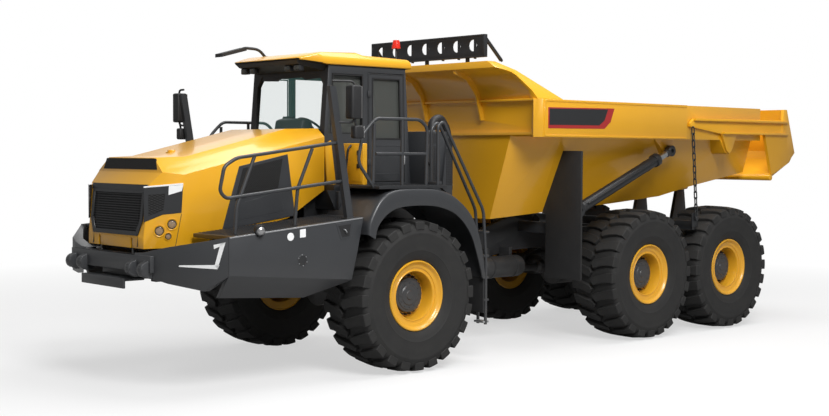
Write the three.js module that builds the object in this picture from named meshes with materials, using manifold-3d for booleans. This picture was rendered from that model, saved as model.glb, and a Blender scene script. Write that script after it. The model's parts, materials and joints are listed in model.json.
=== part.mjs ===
// Articulated dump truck: six driven wheels, a front chassis with hood and cab, and a rear
// chassis that carries a tipping bed with a chain-operated tailgate.
// Millimetres, +X forward, +Y left, +Z up. Stations along X are measured from the front axle;
// the last lines move the whole truck so that the middle of its length is at X = 0.
import * as THREE from "three";
import { mergeVertices } from "three/addons/utils/BufferGeometryUtils.js";
import Module from "manifold-3d";

// ---------------------------------------------------------------- driving dimensions
// running clearances
const touch = 0.4; // between pieces bolted or resting on each other
const thrust = 0.6; // between the faces of a pin joint
const free = 6; // between pieces that move past each other

// wheels
const tyreRadius = 937.5;
const tyreWidth = 750;
const tyreSides = 24;
const track = 2740; // between the middles of the two tyres of an axle
const rimRadius = 340; // where the tyre's bead sits
const rimLip = 422;
const rimWidth = 634;
const lipWidth = 27;
const hubRadius = 215;
const wheelbase = 4480; // front axle to middle axle
const tandem = 1940; // middle axle to rear axle
const axleHeight = tyreRadius * Math.cos(Math.PI / tyreSides); // stands on a flat of the tyre
const axleTube = 150;
const tyreInner = track / 2 - tyreWidth / 2; // Y of a tyre's inner face
const halfWidth = track / 2 + tyreWidth / 2; // half the truck's width over its tyres

// front chassis
const frameHalf = 450; // half the width over a chassis rail
const railWall = 110;
const frameLow = 1180;
const frameHigh = 1450;
const frameFront = 2860;
const noseHalf = 620; // half the width of the hood's flat front face
const hoodHalf = 820;
const hoodFront = 3060;
const hoodRear = 745;
const hoodWall = 45;
const hoodPivotX = 3085;
const hoodPivotZ = 1625;
const bumperFront = 3215;
const skirtHalf = 1650;
const skirtWall = 60;
const fenderHalf = 1750;
const deckTop = 2235;
const deckThick = 40;

// cab
const cabHalf = 780;
const cabFront = 720;
const cabRear = -690;
const cabFloor = 2240 + touch;
const cabTop = 3720;
const cabWall = 60;
const cabLean = 70; // how far the windscreen's top stands behind its foot
const glassThick = 8;
const doorFront = 30;
const doorRear = -600;
const doorGap = 8;

// articulation
const hitchX = -1400;
const hitchTop = 1560;
const hitchBottom = 940;
const earThick = 70;
const hitchPin = 70;
const trunnionRadius = 150;
const trunnionEnd = -1900;
const trunnionZ = 1250;

// rear chassis
const rearFrameHalf = 440;
const rearFrameLow = 1300;
const rearFrameHigh = 1560;
const rearFrameEnd = -7060;
const beamPivotZ = 1215;

// bed
const bedPivotX = -6900;
const bedPivotZ = 2150;
const bedFront = -2220;
const bedRear = -7330;
const railOuter = 1690;
const railRecess = 1600; // beside the tailgate's arms
const railTop = 3370;
const railLow = 2870;
const bedWall = 55;
const recessX = -5310;
const canopyLip = -1640;
const canopyTop = 3860;
const guardTop = 4215;

// tailgate
const gatePivotX = -6440;
const gatePivotZ = 2730;
const gateArmInner = railRecess + free + 4;
const gateArmOuter = railOuter + 10;
const chainX = -5590;
const chainFootZ = 1700;
const chainTopX = -5470;
const chainTopZ = 3100;
const chainY = gateArmOuter - 24;
const chainHalf = 22;

// hoist and steering cylinders
const hoistY = 1500;
const hoistFoot = { x: -3110, z: 1880 };
const hoistEye = { x: -5170, z: 2700 };
const hoistBarrel = 78;
const hoistRod = 48;
const hoistRodShows = 330; // rod between the barrel's collar and its eye
const steerFoot = { x: -450, y: 560 };
const steerEye = { x: -1530, y: 330 };
const steerZ = 1085;
const steerBarrel = 55;
const steerRod = 32;
const steerRodShows = 340;
const steerStroke = 275; // each way from straight ahead

// colours of the finished surfaces
const looks = {
  yellow: { color: 0xf0ac18, roughness: 0.35, metalness: 0.0 },
  grey: { color: 0x44474a, roughness: 0.5, metalness: 0.0 },
  black: { color: 0x1c1d1e, roughness: 0.6, metalness: 0.0 },
  rubber: { color: 0x262626, roughness: 0.9, metalness: 0.0 },
  steel: { color: 0x9a9da0, roughness: 0.3, metalness: 0.9 },
  glass: { color: 0xc9dcd8, roughness: 0.05, metalness: 0.0 },
  seat: { color: 0x2a2b2d, roughness: 0.85, metalness: 0.0 },
  red: { color: 0xc02018, roughness: 0.3, metalness: 0.0 },
};

// ---------------------------------------------------------------- solids
const wasm = await Module();
wasm.setup();

// A closed three.js geometry as a solid, turned the right way round if its faces point in.
function solid(geometry) {
  const bare = geometry.clone();
  bare.deleteAttribute("normal");
  bare.deleteAttribute("uv");
  const merged = mergeVertices(bare, 1e-3);
  const corners = new Uint32Array(merged.index.array);
  const vertProperties = merged.attributes.position.array;
  const made = new wasm.Manifold(new wasm.Mesh({ numProp: 3, vertProperties, triVerts: corners }));
  if (made.volume() > 0) return made;
  for (let i = 0; i < corners.length; i += 3) {
    [corners[i + 1], corners[i + 2]] = [corners[i + 2], corners[i + 1]];
  }
  return new wasm.Manifold(new wasm.Mesh({ numProp: 3, vertProperties, triVerts: corners }));
}

// A solid back as a geometry with flat shading.
function geometryOf(body) {
  const mesh = body.getMesh();
  const places = new Float32Array(mesh.numVert * 3);
  for (let i = 0; i < mesh.numVert; i++) {
    places.set(mesh.vertProperties.subarray(i * mesh.numProp, i * mesh.numProp + 3), i * 3);
  }
  const geometry = new THREE.BufferGeometry();
  geometry.setAttribute("position", new THREE.BufferAttribute(places, 3));
  geometry.setIndex(new THREE.BufferAttribute(new Uint32Array(mesh.triVerts), 1));
  geometry.computeVertexNormals();
  return geometry;
}

const join = (...bodies) => bodies.reduce((all, one) => all.add(one));
const cut = (body, ...tools) => tools.reduce((left, tool) => left.subtract(tool), body);
const both = (...bodies) => bodies.reduce((all, one) => all.intersect(one));
const shapeOf = (points) => new THREE.Shape(points.map(([u, v]) => new THREE.Vector2(u, v)));
const extruded = (points, depth) =>
  new THREE.ExtrudeGeometry(shapeOf(points), { depth, bevelEnabled: false, curveSegments: 6 });

// A box between two opposite corners.
function box([x0, x1], [y0, y1], [z0, z1]) {
  const geometry = new THREE.BoxGeometry(Math.abs(x1 - x0), Math.abs(y1 - y0), Math.abs(z1 - z0));
  return solid(geometry.translate((x0 + x1) / 2, (y0 + y1) / 2, (z0 + z1) / 2));
}

// A side outline of (x, z) points, from Y = y0 to y1.
function sidePlate(points, [y0, y1]) {
  const geometry = extruded(points, Math.abs(y1 - y0));
  return solid(geometry.rotateX(Math.PI / 2).translate(0, Math.max(y0, y1), 0));
}

// A plan outline of (x, y) points, from Z = z0 to z1.
function floorPlate(points, [z0, z1]) {
  return solid(extruded(points, z1 - z0).translate(0, 0, z0));
}

// A front outline of (y, z) points, from X = x0 to x1.
function frontPlate(points, [x0, x1]) {
  const turn = new THREE.Matrix4().makeBasis(
    new THREE.Vector3(0, 1, 0),
    new THREE.Vector3(0, 0, 1),
    new THREE.Vector3(1, 0, 0),
  );
  return solid(extruded(points, x1 - x0).applyMatrix4(turn).translate(x0, 0, 0));
}

// A round bar from one point to another.
function bar(from, to, radius, sides = 12) {
  const a = new THREE.Vector3(...from);
  const b = new THREE.Vector3(...to);
  const along = b.clone().sub(a);
  const geometry = new THREE.CylinderGeometry(radius, radius, along.length(), sides);
  const turn = new THREE.Quaternion().setFromUnitVectors(
    new THREE.Vector3(0, 1, 0),
    along.clone().normalize(),
  );
  geometry.applyQuaternion(turn);
  geometry.translate((a.x + b.x) / 2, (a.y + b.y) / 2, (a.z + b.z) / 2);
  return solid(geometry);
}

// A bent tube through a list of points: straight bars that run a little past each corner.
function rail(points, radius = 19, sides = 5) {
  const pieces = [];
  for (let i = 0; i + 1 < points.length; i++) {
    const a = new THREE.Vector3(...points[i]);
    const b = new THREE.Vector3(...points[i + 1]);
    const past = b.clone().sub(a).normalize().multiplyScalar(radius * 0.7);
    pieces.push(bar(a.sub(past).toArray(), b.add(past).toArray(), radius, sides));
  }
  return join(...pieces);
}

// A solid through a row of outlines, each a list of as many [x, y, z] points.
function loft(rings) {
  const count = rings[0].length;
  const places = rings.flat(2);
  const faces = [];
  for (let r = 0; r + 1 < rings.length; r++) {
    for (let i = 0; i < count; i++) {
      const a = r * count + i;
      const b = r * count + ((i + 1) % count);
      faces.push(a, b, b + count, a, b + count, a + count);
    }
  }
  const flat = rings[0].map(([x, y, z]) => new THREE.Vector2(...flatten(rings[0], x, y, z)));
  const cap = THREE.ShapeUtils.triangulateShape(flat, []);
  const last = (rings.length - 1) * count;
  for (const [a, b, c] of cap) {
    faces.push(...capWinding(flat, [a, b, c], count, last));
  }
  const geometry = new THREE.BufferGeometry();
  geometry.setAttribute("position", new THREE.Float32BufferAttribute(places, 3));
  geometry.setIndex(faces);
  return solid(geometry);
}

// The two coordinates in which an outline is widest, for cutting its end into triangles.
function flatten(ring, x, y, z) {
  const spans = [0, 1, 2].map((k) => {
    const values = ring.map((p) => p[k]);
    return Math.max(...values) - Math.min(...values);
  });
  const thin = spans.indexOf(Math.min(...spans));
  return [x, y, z].filter((_, k) => k !== thin);
}

// The first end's triangle against its outline's direction, and the last end's along it.
function capWinding(flat, [a, b, c], count, last) {
  const area = (list) => THREE.ShapeUtils.area(list);
  const same = Math.sign(area([flat[a], flat[b], flat[c]])) === Math.sign(area(flat));
  const [p, q, r] = same ? [a, b, c] : [a, c, b];
  return [p, r, q, last + p, last + q, last + r];
}

// A turned piece: (radius, distance along the axle) points, round an axle that lies along Y.
function turned(points, sides, half = true) {
  const profile = points.map(([r, t]) => new THREE.Vector2(r, t));
  return new THREE.LatheGeometry(profile, sides, half ? Math.PI / sides : 0);
}

// ---------------------------------------------------------------- scene graph
const truck = new THREE.Group();

// Adds a solid as a named mesh; mirror = true makes the copy on the right-hand side.
function piece(name, body, look, mirror = false) {
  const mesh = new THREE.Mesh(geometryOf(body), new THREE.MeshStandardMaterial(looks[look]));
  mesh.name = name;
  if (mirror) mesh.scale.y = -1;
  truck.add(mesh);
  return mesh;
}

function pair(name, body, look) {
  piece(name + "_left", body, look);
  piece(name + "_right", body, look, true);
}

// ---------------------------------------------------------------- wheels
const rimIn = rimWidth / 2 - lipWidth; // inner face of a rim's lip, from the wheel's middle
const tyreProfile = [
  [rimRadius + touch, -rimIn + touch],
  [rimLip + 10, -rimIn + touch],
  [tyreRadius * 0.68, -tyreWidth / 2],
  [tyreRadius, -tyreWidth / 2 + 70],
];
const tyreOutline = [...tyreProfile, ...tyreProfile.map(([r, t]) => [r, -t]).reverse()];
const tyreSolid = solid(turned([...tyreOutline, tyreOutline[0]], tyreSides));
const hubFace = 190;
const rimBarrel = 20;
const rimProfile = [
  [0, 20],
  [0, hubFace],
  [hubRadius, hubFace],
  [hubRadius + 10, 80],
  [rimRadius - rimBarrel, 80],
  [rimRadius - rimBarrel, rimWidth / 2],
  [rimLip, rimWidth / 2],
  [rimLip, rimIn],
  [rimRadius, rimIn],
  [rimRadius, -rimIn],
  [rimRadius - rimBarrel, -rimIn],
  [rimRadius - rimBarrel, 20],
];
const rimSolid = solid(turned([...rimProfile, rimProfile[0]], tyreSides));
const axles = { front: 0, middle: -wheelbase, rear: -wheelbase - tandem };

for (const [place, x] of Object.entries(axles)) {
  for (const [side, way] of [["left", 1], ["right", -1]]) {
    const tyre = piece(`tyre_${place}_${side}`, tyreSolid, "rubber");
    const rim = piece(`rim_${place}_${side}`, rimSolid, "yellow");
    for (const mesh of [tyre, rim]) {
      mesh.scale.y = way;
      mesh.position.set(x, (way * track) / 2, axleHeight);
    }
  }
}

// An axle beam: a tube with a round differential housing, ending just short of the wheels' discs.
function axleSolid(x) {
  const half = track / 2 + 20 - thrust;
  const tube = bar([x, -half, axleHeight], [x, half, axleHeight], axleTube, 16);
  const housing = bar([x - 230, 0, axleHeight], [x + 230, 0, axleHeight], 250, 14);
  return join(tube, housing);
}
for (const [place, x] of Object.entries(axles)) piece(`${place}_axle`, axleSolid(x), "black");

// ---------------------------------------------------------------- front chassis
const yokeFront = -860;
const frameRail = box([yokeFront, frameFront], [frameHalf - railWall, frameHalf], [frameLow, frameHigh]);
const otherRail = box([yokeFront, frameFront], [-frameHalf, railWall - frameHalf], [frameLow, frameHigh]);
const crossX = [2700, 1500, 700, -300];
const crossMembers = crossX.map((x) =>
  box([x, x + 120], [-frameHalf, frameHalf], [frameLow + 40, frameHigh - 40]),
);
// mounting pads that carry the cab, the engine and the front axle
const axlePads = [-1, 1].map((s) =>
  box([-170, 170], [s * (frameHalf - railWall), s * frameHalf], [axleHeight + 110, frameLow + 10]),
);
// the yoke is narrow below the rails, where the steering cylinders pass
const yoke = join(
  box([yokeFront - 120, yokeFront + 10], [-frameHalf, frameHalf], [frameLow, hitchTop + earThick]),
  box([yokeFront - 120, yokeFront + 10], [-320, 320], [hitchBottom - earThick, frameLow + 10]),
);
const earOutline = [
  [yokeFront, 260], [hitchX, 170], [hitchX - 130, 100],
  [hitchX - 130, -100], [hitchX, -170], [yokeFront, -260],
];
const ears = [
  floorPlate(earOutline, [hitchTop, hitchTop + earThick]),
  floorPlate(earOutline, [hitchBottom - earThick, hitchBottom]),
];
const pinClear = 3;
const pinBore = bar([hitchX, 0, hitchBottom - 200], [hitchX, 0, hitchTop + 200], hitchPin + pinClear, 24);
// side brackets for the steering cylinders' feet
const steerBracket = [-1, 1].map((s) =>
  box([steerFoot.x - 70, steerFoot.x + 90], [s * (frameHalf - 40), s * (steerFoot.y + 60)],
    [steerZ + steerBarrel + 15 + thrust, steerZ + steerBarrel + 55]),
);
const bracketRoot = [-1, 1].map((s) =>
  box([steerFoot.x - 70, steerFoot.x + 90], [s * (frameHalf - railWall), s * frameHalf],
    [steerZ + steerBarrel + 15 + thrust, frameLow + 20]),
);
// outriggers that carry the skirts, the fenders and the decks
const outriggers = [1050, 2300].flatMap((x) =>
  [-1, 1].map((s) => box([x, x + 100], [s * (frameHalf - 30), s * (skirtHalf - skirtWall - touch)],
    [frameLow + 135, frameLow + 230])),
);
const fenderArms = [-1, 1].map((s) =>
  box([-830, -760], [s * (frameHalf - 30), s * (cabHalf + 30)], [frameHigh - 120, frameHigh - 20]),
);
// posts between the rails and the cab's floor
const cabPosts = [-560, 480].flatMap((x) =>
  [-1, 1].map((s) => box([x, x + 140], [s * (frameHalf - 110), s * frameHalf],
    [frameHigh - 10, cabFloor - touch])),
);
piece("front_frame", cut(
  join(frameRail, otherRail, ...crossMembers, ...axlePads, yoke, ...ears, ...steerBracket,
    ...bracketRoot, ...outriggers, ...fenderArms, ...cabPosts),
  pinBore,
  bar([0, -600, axleHeight], [0, 600, axleHeight], axleTube + touch, 16),
), "black");

// engine and gearbox under the hood, one plain block on the rails
const engine = join(
  box([1050, 2500], [-frameHalf + 120, frameHalf - 120], [frameHigh - 200, 2080]),
  box([1150, 1250], [-frameHalf, frameHalf], [frameHigh + touch, 1600]),
  box([2250, 2350], [-frameHalf, frameHalf], [frameHigh + touch, 1600]),
);
piece("engine", cut(engine, ...crossX.map((x) =>
  box([x - touch, x + 120 + touch], [-frameHalf, frameHalf], [frameLow, frameHigh - 40 + touch]))), "black");

// ---------------------------------------------------------------- bumper
const wingInner = 560;
const wingOutline = [
  [bumperFront - 60, 900], [bumperFront - 120, 1080], [2680, skirtHalf], [2680, skirtHalf - 60],
  [2990, 1010], [3060, wingInner], [bumperFront - 20, wingInner],
];
// the wing's upper edge rises towards the skirt and its lower edge falls to a point
const wingSide = frontPlate([
  [0, 1300], [0, 1520], [700, 1540], [skirtHalf + 10, 1741],
  [skirtHalf + 10, 1330], [1420, 1150], [1000, 1240], [600, 1290],
], [2600, bumperFront + 20]);
const wing = both(floorPlate(wingOutline, [1100, 1800]), wingSide);
const wingMirror = wing.mirror([0, 1, 0]);
const beam = box([frameFront + touch, bumperFront - 15], [-900, 900], [1330, 1515]);
const lugs = [-1, 1].flatMap((s) => [560, 820].map((y) =>
  both(
    frontPlate([[s * y - 45, 1270], [s * y + 45, 1270], [s * y + 45, 1460], [s * y - 45, 1460]],
      [bumperFront - 110, bumperFront + 85]),
    join(bar([bumperFront, s * y - 60, 1365], [bumperFront, s * y + 60, 1365], 85, 16),
      box([bumperFront - 110, bumperFront], [s * y - 60, s * y + 60], [1270, 1460])),
  )));
const stepPlate = join(
  box([bumperFront - 190, bumperFront + 80], [-480, 480], [1215, 1245]),
  box([bumperFront + 50, bumperFront + 80], [-480, 480], [1135, 1240]),
  box([bumperFront - 190, bumperFront - 160], [-420, 420], [1230, 1345]),
);
// the hood's hinge eyes
const hoodEyes = [-1, 1].map((s) => box([hoodPivotX - 40, hoodPivotX + 20],
  [s * (340 + thrust), s * 375], [1510, 1670]));
const bumper = join(beam, wing, wingMirror, ...lugs, stepPlate, ...hoodEyes);
piece("front_bumper", bumper, "grey");

// ---------------------------------------------------------------- side skirts
const skirtTop = 1905;
const skirtOutline = [
  [2680 - touch, 1741], [815, skirtTop], [905, 1500], [985, 1190], [2680 - touch, 1330],
];
const skirtSide = sidePlate(skirtOutline, [skirtHalf - skirtWall, skirtHalf]);
// below its fold the skirt turns in under the truck, to a lower edge
const skirtReturn = loft([[985, 1185, 1175], [1560, 1233, 1000], [2680 - touch, 1326, 1070]].map(
  ([x, fold, low]) => {
    const inset = (fold - low) * 0.75;
    return [[x, skirtHalf, fold + 10], [x, skirtHalf, fold], [x, skirtHalf - inset, low],
      [x, skirtHalf - inset - skirtWall, low], [x, skirtHalf - skirtWall, fold + 10]];
  }));
// the walkway that runs along the hood on top of the skirt
const walkway = sidePlate(
  [[2640, 1700], [2640, 1744], [815, skirtTop], [815, skirtTop - 44]],
  [hoodHalf + 60, skirtHalf - 10],
);
pair("side_skirt", join(skirtSide, skirtReturn, walkway), "grey");

// ---------------------------------------------------------------- front fenders
const archWall = [
  [700, 1640], [790, 1800], [603, 2124], [330, 2225 - touch], [-300, 2225 - touch], [-600, 2120],
  [-886, 1884],
  [-1050, 1480], [-1116, 1078], [-1060, 1070], [-997, 1292], [-880, 1600], [-640, 1880],
  [-300, 2010], [300, 2010], [560, 1900],
];
const fenderInner = cabHalf + 70;
const arch = sidePlate(archWall, [fenderInner, fenderHalf]);
const fenderLeg = sidePlate([[-860, 1280], [-860, 1660], [-700, 1800], [-700, 1280]],
  [cabHalf + 30 + touch, fenderInner + 60]);
const flap = box([-1112, -1088], [tyreInner + 10, fenderHalf - 15], [520, 1085]);
pair("front_fender", join(arch, fenderLeg, flap), "grey");
// ---------------------------------------------------------------- hood
// The hood is the part common to a side outline, a plan outline and a front outline.
function hoodForm(inset) {
  const side = sidePlate([
    [hoodRear - 5, 2200 - inset * 9], [1280, 1875 - inset * 9], [2190, 1695 - inset * 9],
    [2700, 1585 - inset * 9], [hoodFront + 60, 1575 - inset * 9],
    [hoodFront + 60 - inset, 1700], [hoodFront - inset, 2290], [2935 - inset, 2420 - inset],
    [2915 - inset, 2585 - inset], [2560, 2600 - inset], [1150, 2935 - inset], [hoodRear - 5, 2945 - inset],
  ], [-1000, 1000]);
  const half = hoodHalf - inset;
  const nose = noseHalf - inset;
  const plan = floorPlate([
    [hoodRear + (inset ? -20 : 0), half], [2720, half], [hoodFront + 70, nose],
    [hoodFront + 70, -nose], [2720, -half], [hoodRear + (inset ? -20 : 0), -half],
  ], [1100, 3100]);
  const shoulder = loft([hoodRear - 20, 2000, hoodFront + 100].map((x, i) => {
    const crease = [2850, 2560, 2300][i] - inset;
    const top = [2990, 2860, 2700][i];
    const brow = half - (top - crease) * 1.35;
    return [[x, half + 30, 1000], [x, half + 30, crease - 22], [x, brow, top], [x, -brow, top],
      [x, -half - 30, crease - 22], [x, -half - 30, 1000]];
  }));
  return both(side, plan, shoulder);
}
const grilleHalf = 540;
const grilleLow = 1760;
const grilleHigh = 2215;
const grilleHole = frontPlate([
  [-grilleHalf, grilleHigh], [grilleHalf, grilleHigh], [grilleHalf, 1900], [grilleHalf - 70, grilleLow],
  [70 - grilleHalf, grilleLow], [-grilleHalf, 1900],
], [2700, hoodFront + 200]);
const hingeLugs = [-1, 1].map((s) =>
  box([hoodPivotX - 40, hoodPivotX + 20], [s * 300 - 40, s * 300 + 40], [hoodPivotZ - 30, 1720]));
const eyeRoom = [-1, 1].map((s) => box([hoodPivotX - 60, hoodPivotX + 60],
  [s * 340, s * (375 + free)], [1500, 1690]));
piece("hood", cut(join(cut(hoodForm(0), hoodForm(hoodWall), grilleHole), ...hingeLugs), ...eyeRoom),
  "yellow");
const grillePlate = frontPlate([
  [touch - grilleHalf, grilleHigh - touch], [grilleHalf - touch, grilleHigh - touch],
  [grilleHalf - touch, 1900.4], [grilleHalf - 70.4, grilleLow + touch],
  [70.4 - grilleHalf, grilleLow + touch], [touch - grilleHalf, 1900.4],
], [2900, hoodFront + 200]);
const noseAt = (z) => hoodFront + 60 - (60 * (z - 1700)) / 590;
const grilleSlab = sidePlate([
  [noseAt(1700) - 12, 1700], [noseAt(2290) - 12, 2290], [noseAt(2290) - 42, 2290], [noseAt(1700) - 42, 1700],
], [-600, 600]);
piece("grille", both(grillePlate, grilleSlab), "black");
// ---------------------------------------------------------------- cab
const lean = (z) => cabFront - (cabLean * Math.max(0, z - 2860)) / (cabTop - 2860);
const rearLean = (z) => cabRear + (100 * (z - cabFloor)) / (cabTop - cabFloor);
function cabForm(inset, low, high) {
  const front = (z) => lean(z) - inset;
  return sidePlate([
    [rearLean(low) + inset, low], [front(low), low], [front(2860), Math.max(2860, low + 1)],
    [front(high), high], [rearLean(high) + inset, high],
  ], [inset - cabHalf, cabHalf - inset]);
}
const windowLow = 2880;
const windowHigh = 3620;
const doorLow = cabFloor + 40;
const doorway = sidePlate([
  [doorFront, doorLow], [doorRear, doorLow], [doorRear + 35, windowHigh + 30], [doorFront, windowHigh + 30],
], [cabHalf - cabWall - 20, cabHalf + 20]);
const quarterWindow = [
  [doorFront + 75, windowLow], [doorFront + 75, windowHigh], [lean(windowHigh) - 60, windowHigh],
  [lean(windowLow) - 60, windowLow],
];
const rightWindows = [
  quarterWindow,
  [[doorFront, windowLow], [doorFront, windowHigh], [doorRear + 60, windowHigh], [doorRear, windowLow]],
];
const screenHalf = cabHalf - 95;
const screenHole = frontPlate([
  [-screenHalf, windowLow], [-screenHalf, windowHigh - 130], [90 - screenHalf, windowHigh],
  [screenHalf - 90, windowHigh], [screenHalf, windowHigh - 130], [screenHalf, windowLow],
], [300, 900]);
const rearHole = box([cabRear - 30, cabRear + 250], [-560, 560], [2900, windowHigh]);
const cabShell = cut(
  cabForm(0, cabFloor, cabTop),
  cabForm(cabWall, cabFloor + cabWall, cabTop + 10),
  doorway,
  sidePlate(quarterWindow, [cabHalf - 100, cabHalf + 20]),
  ...rightWindows.map((w) => sidePlate(w, [-cabHalf - 20, 100 - cabHalf])),
  screenHole,
  rearHole,
);
piece("cab_shell", cabShell, "grey");

// one band of glass behind all the window openings but the door's
const glassBand = cut(
  cabForm(cabWall + touch, windowLow - 30, windowHigh + 30),
  cabForm(cabWall + touch + glassThick, windowLow - 40, windowHigh + 40),
  box([doorRear - 10, doorFront + 30], [cabHalf - 200, cabHalf], [2700, 3800]),
);
piece("cab_glass", glassBand, "glass");

const doorPanel = sidePlate([
  [doorFront - doorGap, doorLow + doorGap], [doorRear + doorGap, doorLow + doorGap],
  [doorRear + 35 + doorGap, windowHigh + 30 - doorGap], [doorFront - doorGap, windowHigh + 30 - doorGap],
], [cabHalf - 50, cabHalf]);
const doorWindow = (inset) => [
  [doorFront - 70 - inset, 2820 + inset], [doorRear + 75 + inset, 2820 + inset],
  [doorRear + 100 + inset, windowHigh - 30 - inset], [doorFront - 70 - inset, windowHigh - 30 - inset],
];
// two round hinges on the cab's outside, each on a leaf that belongs to the door
const hingeRound = 10;
const doorHingeY = cabHalf + hingeRound + 2 * thrust;
const doorHinges = [2500, 3350].map((z) => join(
  bar([doorFront, doorHingeY, z], [doorFront, doorHingeY, z + 70], hingeRound, 8),
  box([doorFront - 45, doorFront], [cabHalf + thrust, doorHingeY + 5], [z, z + 70]),
  box([doorFront - 45, doorFront - doorGap - 2], [cabHalf - 4, doorHingeY], [z, z + 70]),
));
piece("cab_door", cut(join(doorPanel, ...doorHinges),
  sidePlate(doorWindow(0), [cabHalf - 60, cabHalf + 10])), "grey");
piece("door_glass", sidePlate(doorWindow(touch), [cabHalf - 34, cabHalf - 34 + glassThick]), "glass");

// roof with a visor that runs out over the windscreen
const roofHalf = cabHalf + 35;
const roofSide = sidePlate([
  [cabRear + 15, cabTop + touch], [cabFront - 30, cabTop + touch], [1005, cabTop + 40], [1050, cabTop + 72],
  [760, cabTop + 150],
  [200, cabTop + 170], [100, cabTop + 140], [cabRear + 60, cabTop + 120], [cabRear + 15, cabTop + 80],
], [-roofHalf, roofHalf]);
const roofPlan = floorPlate([
  [cabRear, roofHalf], [760, roofHalf], [1060, roofHalf - 140], [1060, 140 - roofHalf],
  [760, -roofHalf], [cabRear, -roofHalf],
], [cabTop, 4000]);
const roofFront = frontPlate([
  [-roofHalf, cabTop - 20], [-roofHalf, cabTop + 80], [70 - roofHalf, cabTop + 180],
  [roofHalf - 70, cabTop + 180], [roofHalf, cabTop + 80], [roofHalf, cabTop - 20],
], [-800, 1100]);
piece("cab_roof", both(roofSide, roofPlan, roofFront), "yellow");

// driver's seat on its pedestal
const floorIn = cabFloor + cabWall + touch;
piece("seat", join(
  box([-330, 60], [-200, 200], [floorIn, floorIn + 330]),
  box([-380, 160], [-260, 260], [floorIn + 320, floorIn + 470]),
  sidePlate([[-260, floorIn + 420], [-400, floorIn + 1150], [-520, floorIn + 1150], [-400, floorIn + 420]],
    [-240, 240]),
), "seat");

// dash with the steering column and wheel
const wheelCentre = [330, 0, floorIn + 620];
const steeringWheel = solid(new THREE.TorusGeometry(190, 16, 6, 18))
  .rotate([0, -28, 0]).translate(wheelCentre);
const spoke = solid(new THREE.BoxGeometry(370, 40, 14)).rotate([0, -28, 0]).translate(wheelCentre);
piece("dash", join(
  sidePlate([[300, floorIn], [300, floorIn + 120], [470, floorIn + 560], [640, floorIn + 600],
    [640, floorIn]], [-640, 640]),
  bar([wheelCentre[0], 0, wheelCentre[2]], [500, 0, floorIn + 300], 40, 8),
  steeringWheel,
  spoke,
), "black");

// guard over the rear window, with the beacon's pole
const guardBars = Array.from({ length: 9 }, (_, i) => -560 + i * 140);
const guardLow = 2860;
const guardHigh = 3660;
const guardSlab = sidePlate([
  [rearLean(guardLow) - touch - 20, guardLow], [rearLean(guardLow) - touch, guardLow],
  [rearLean(guardHigh) - touch, guardHigh], [rearLean(guardHigh) - touch - 20, guardHigh],
], [-640, 640]);
const poleX = cabRear - 60;
piece("rear_guard", join(
  both(guardSlab, join(
    box([-900, -400], [-620, 620], [guardLow, guardLow + 40]),
    box([-900, -400], [-620, 620], [guardHigh - 40, guardHigh]),
    ...guardBars.map((y) => box([-900, -400], [y - 8, y + 8], [guardLow + 10, guardHigh - 10])),
  )),
  bar([poleX, 420, 3600], [poleX, 420, 4010], 14, 8),
  box([poleX, rearLean(3640) - 5], [408, 432], [3625, 3655]),
), "black");
piece("beacon", solid(new THREE.CylinderGeometry(42, 62, 110, 12)).rotate([90, 0, 0])
  .translate([poleX, 420, 4065 + touch]), "red");
// ---------------------------------------------------------------- mirrors, rails and ladder
const postY = 1580;
const postFoot = [980, postY, 1895];
const postHead = [1240, postY, 3410];
const mirrorPost = join(
  loft([postFoot, postHead].map(([x, y, z]) => [
    [x - 45, y - 32, z], [x + 45, y - 32, z], [x + 45, y + 32, z], [x - 45, y + 32, z],
  ])),
  rail([[1180, postY, 3060], [1180, 1725, 3060], [1215, 1725, 3500], [1225, postY + 20, 3500],
    [1235, postY, 3400]], 12),
  box([1120, 1200], [1610, 1742], [3050, 3420]),
  box([1090, 1180], [1620, 1735], [2830, 2960]),
  bar([1140, 1690, 2900], [1160, 1690, 3100], 12, 6),
);
// the rail beside the walkway, from the post forward and down
const railY = 1500;
const walkRail = join(
  rail([[1130, postY, 2770], [2480, railY, 2590], [2640, railY, 2500], [2700, railY, 2230],
    [2620, railY, 2150], [1040, postY, 2330]], 17),
  rail([[2250, railY + 8, 2610], [2480, railY, 2060], [2500, railY, 1775]], 17),
  rail([[1500, postY - 12, 2700], [1680, railY + 30, 2240], [1720, railY + 30, 1845]], 17),
);
piece("mirror_rail_left", join(mirrorPost, walkRail), "grey");
piece("mirror_rail_right", mirrorPost, "grey", true);
piece("roof_mirror", join(
  rail([[700, -700, 3885], [660, -700, 4000], [900, -740, 4010], [980, -760, 3960]], 14),
  loft([[960, 3930, 3975], [1230, 3850, 3890]].map(([x, low, high]) => [
    [x, -830, low], [x, -690, low], [x, -690, high], [x, -830, high],
  ])),
  bar([700, -700, 3830], [700, -700, 3900], 30, 8),
).subtract(box([500, 1100], [-900, 900], [3700, cabTop + 153.6])), "black");

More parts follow.
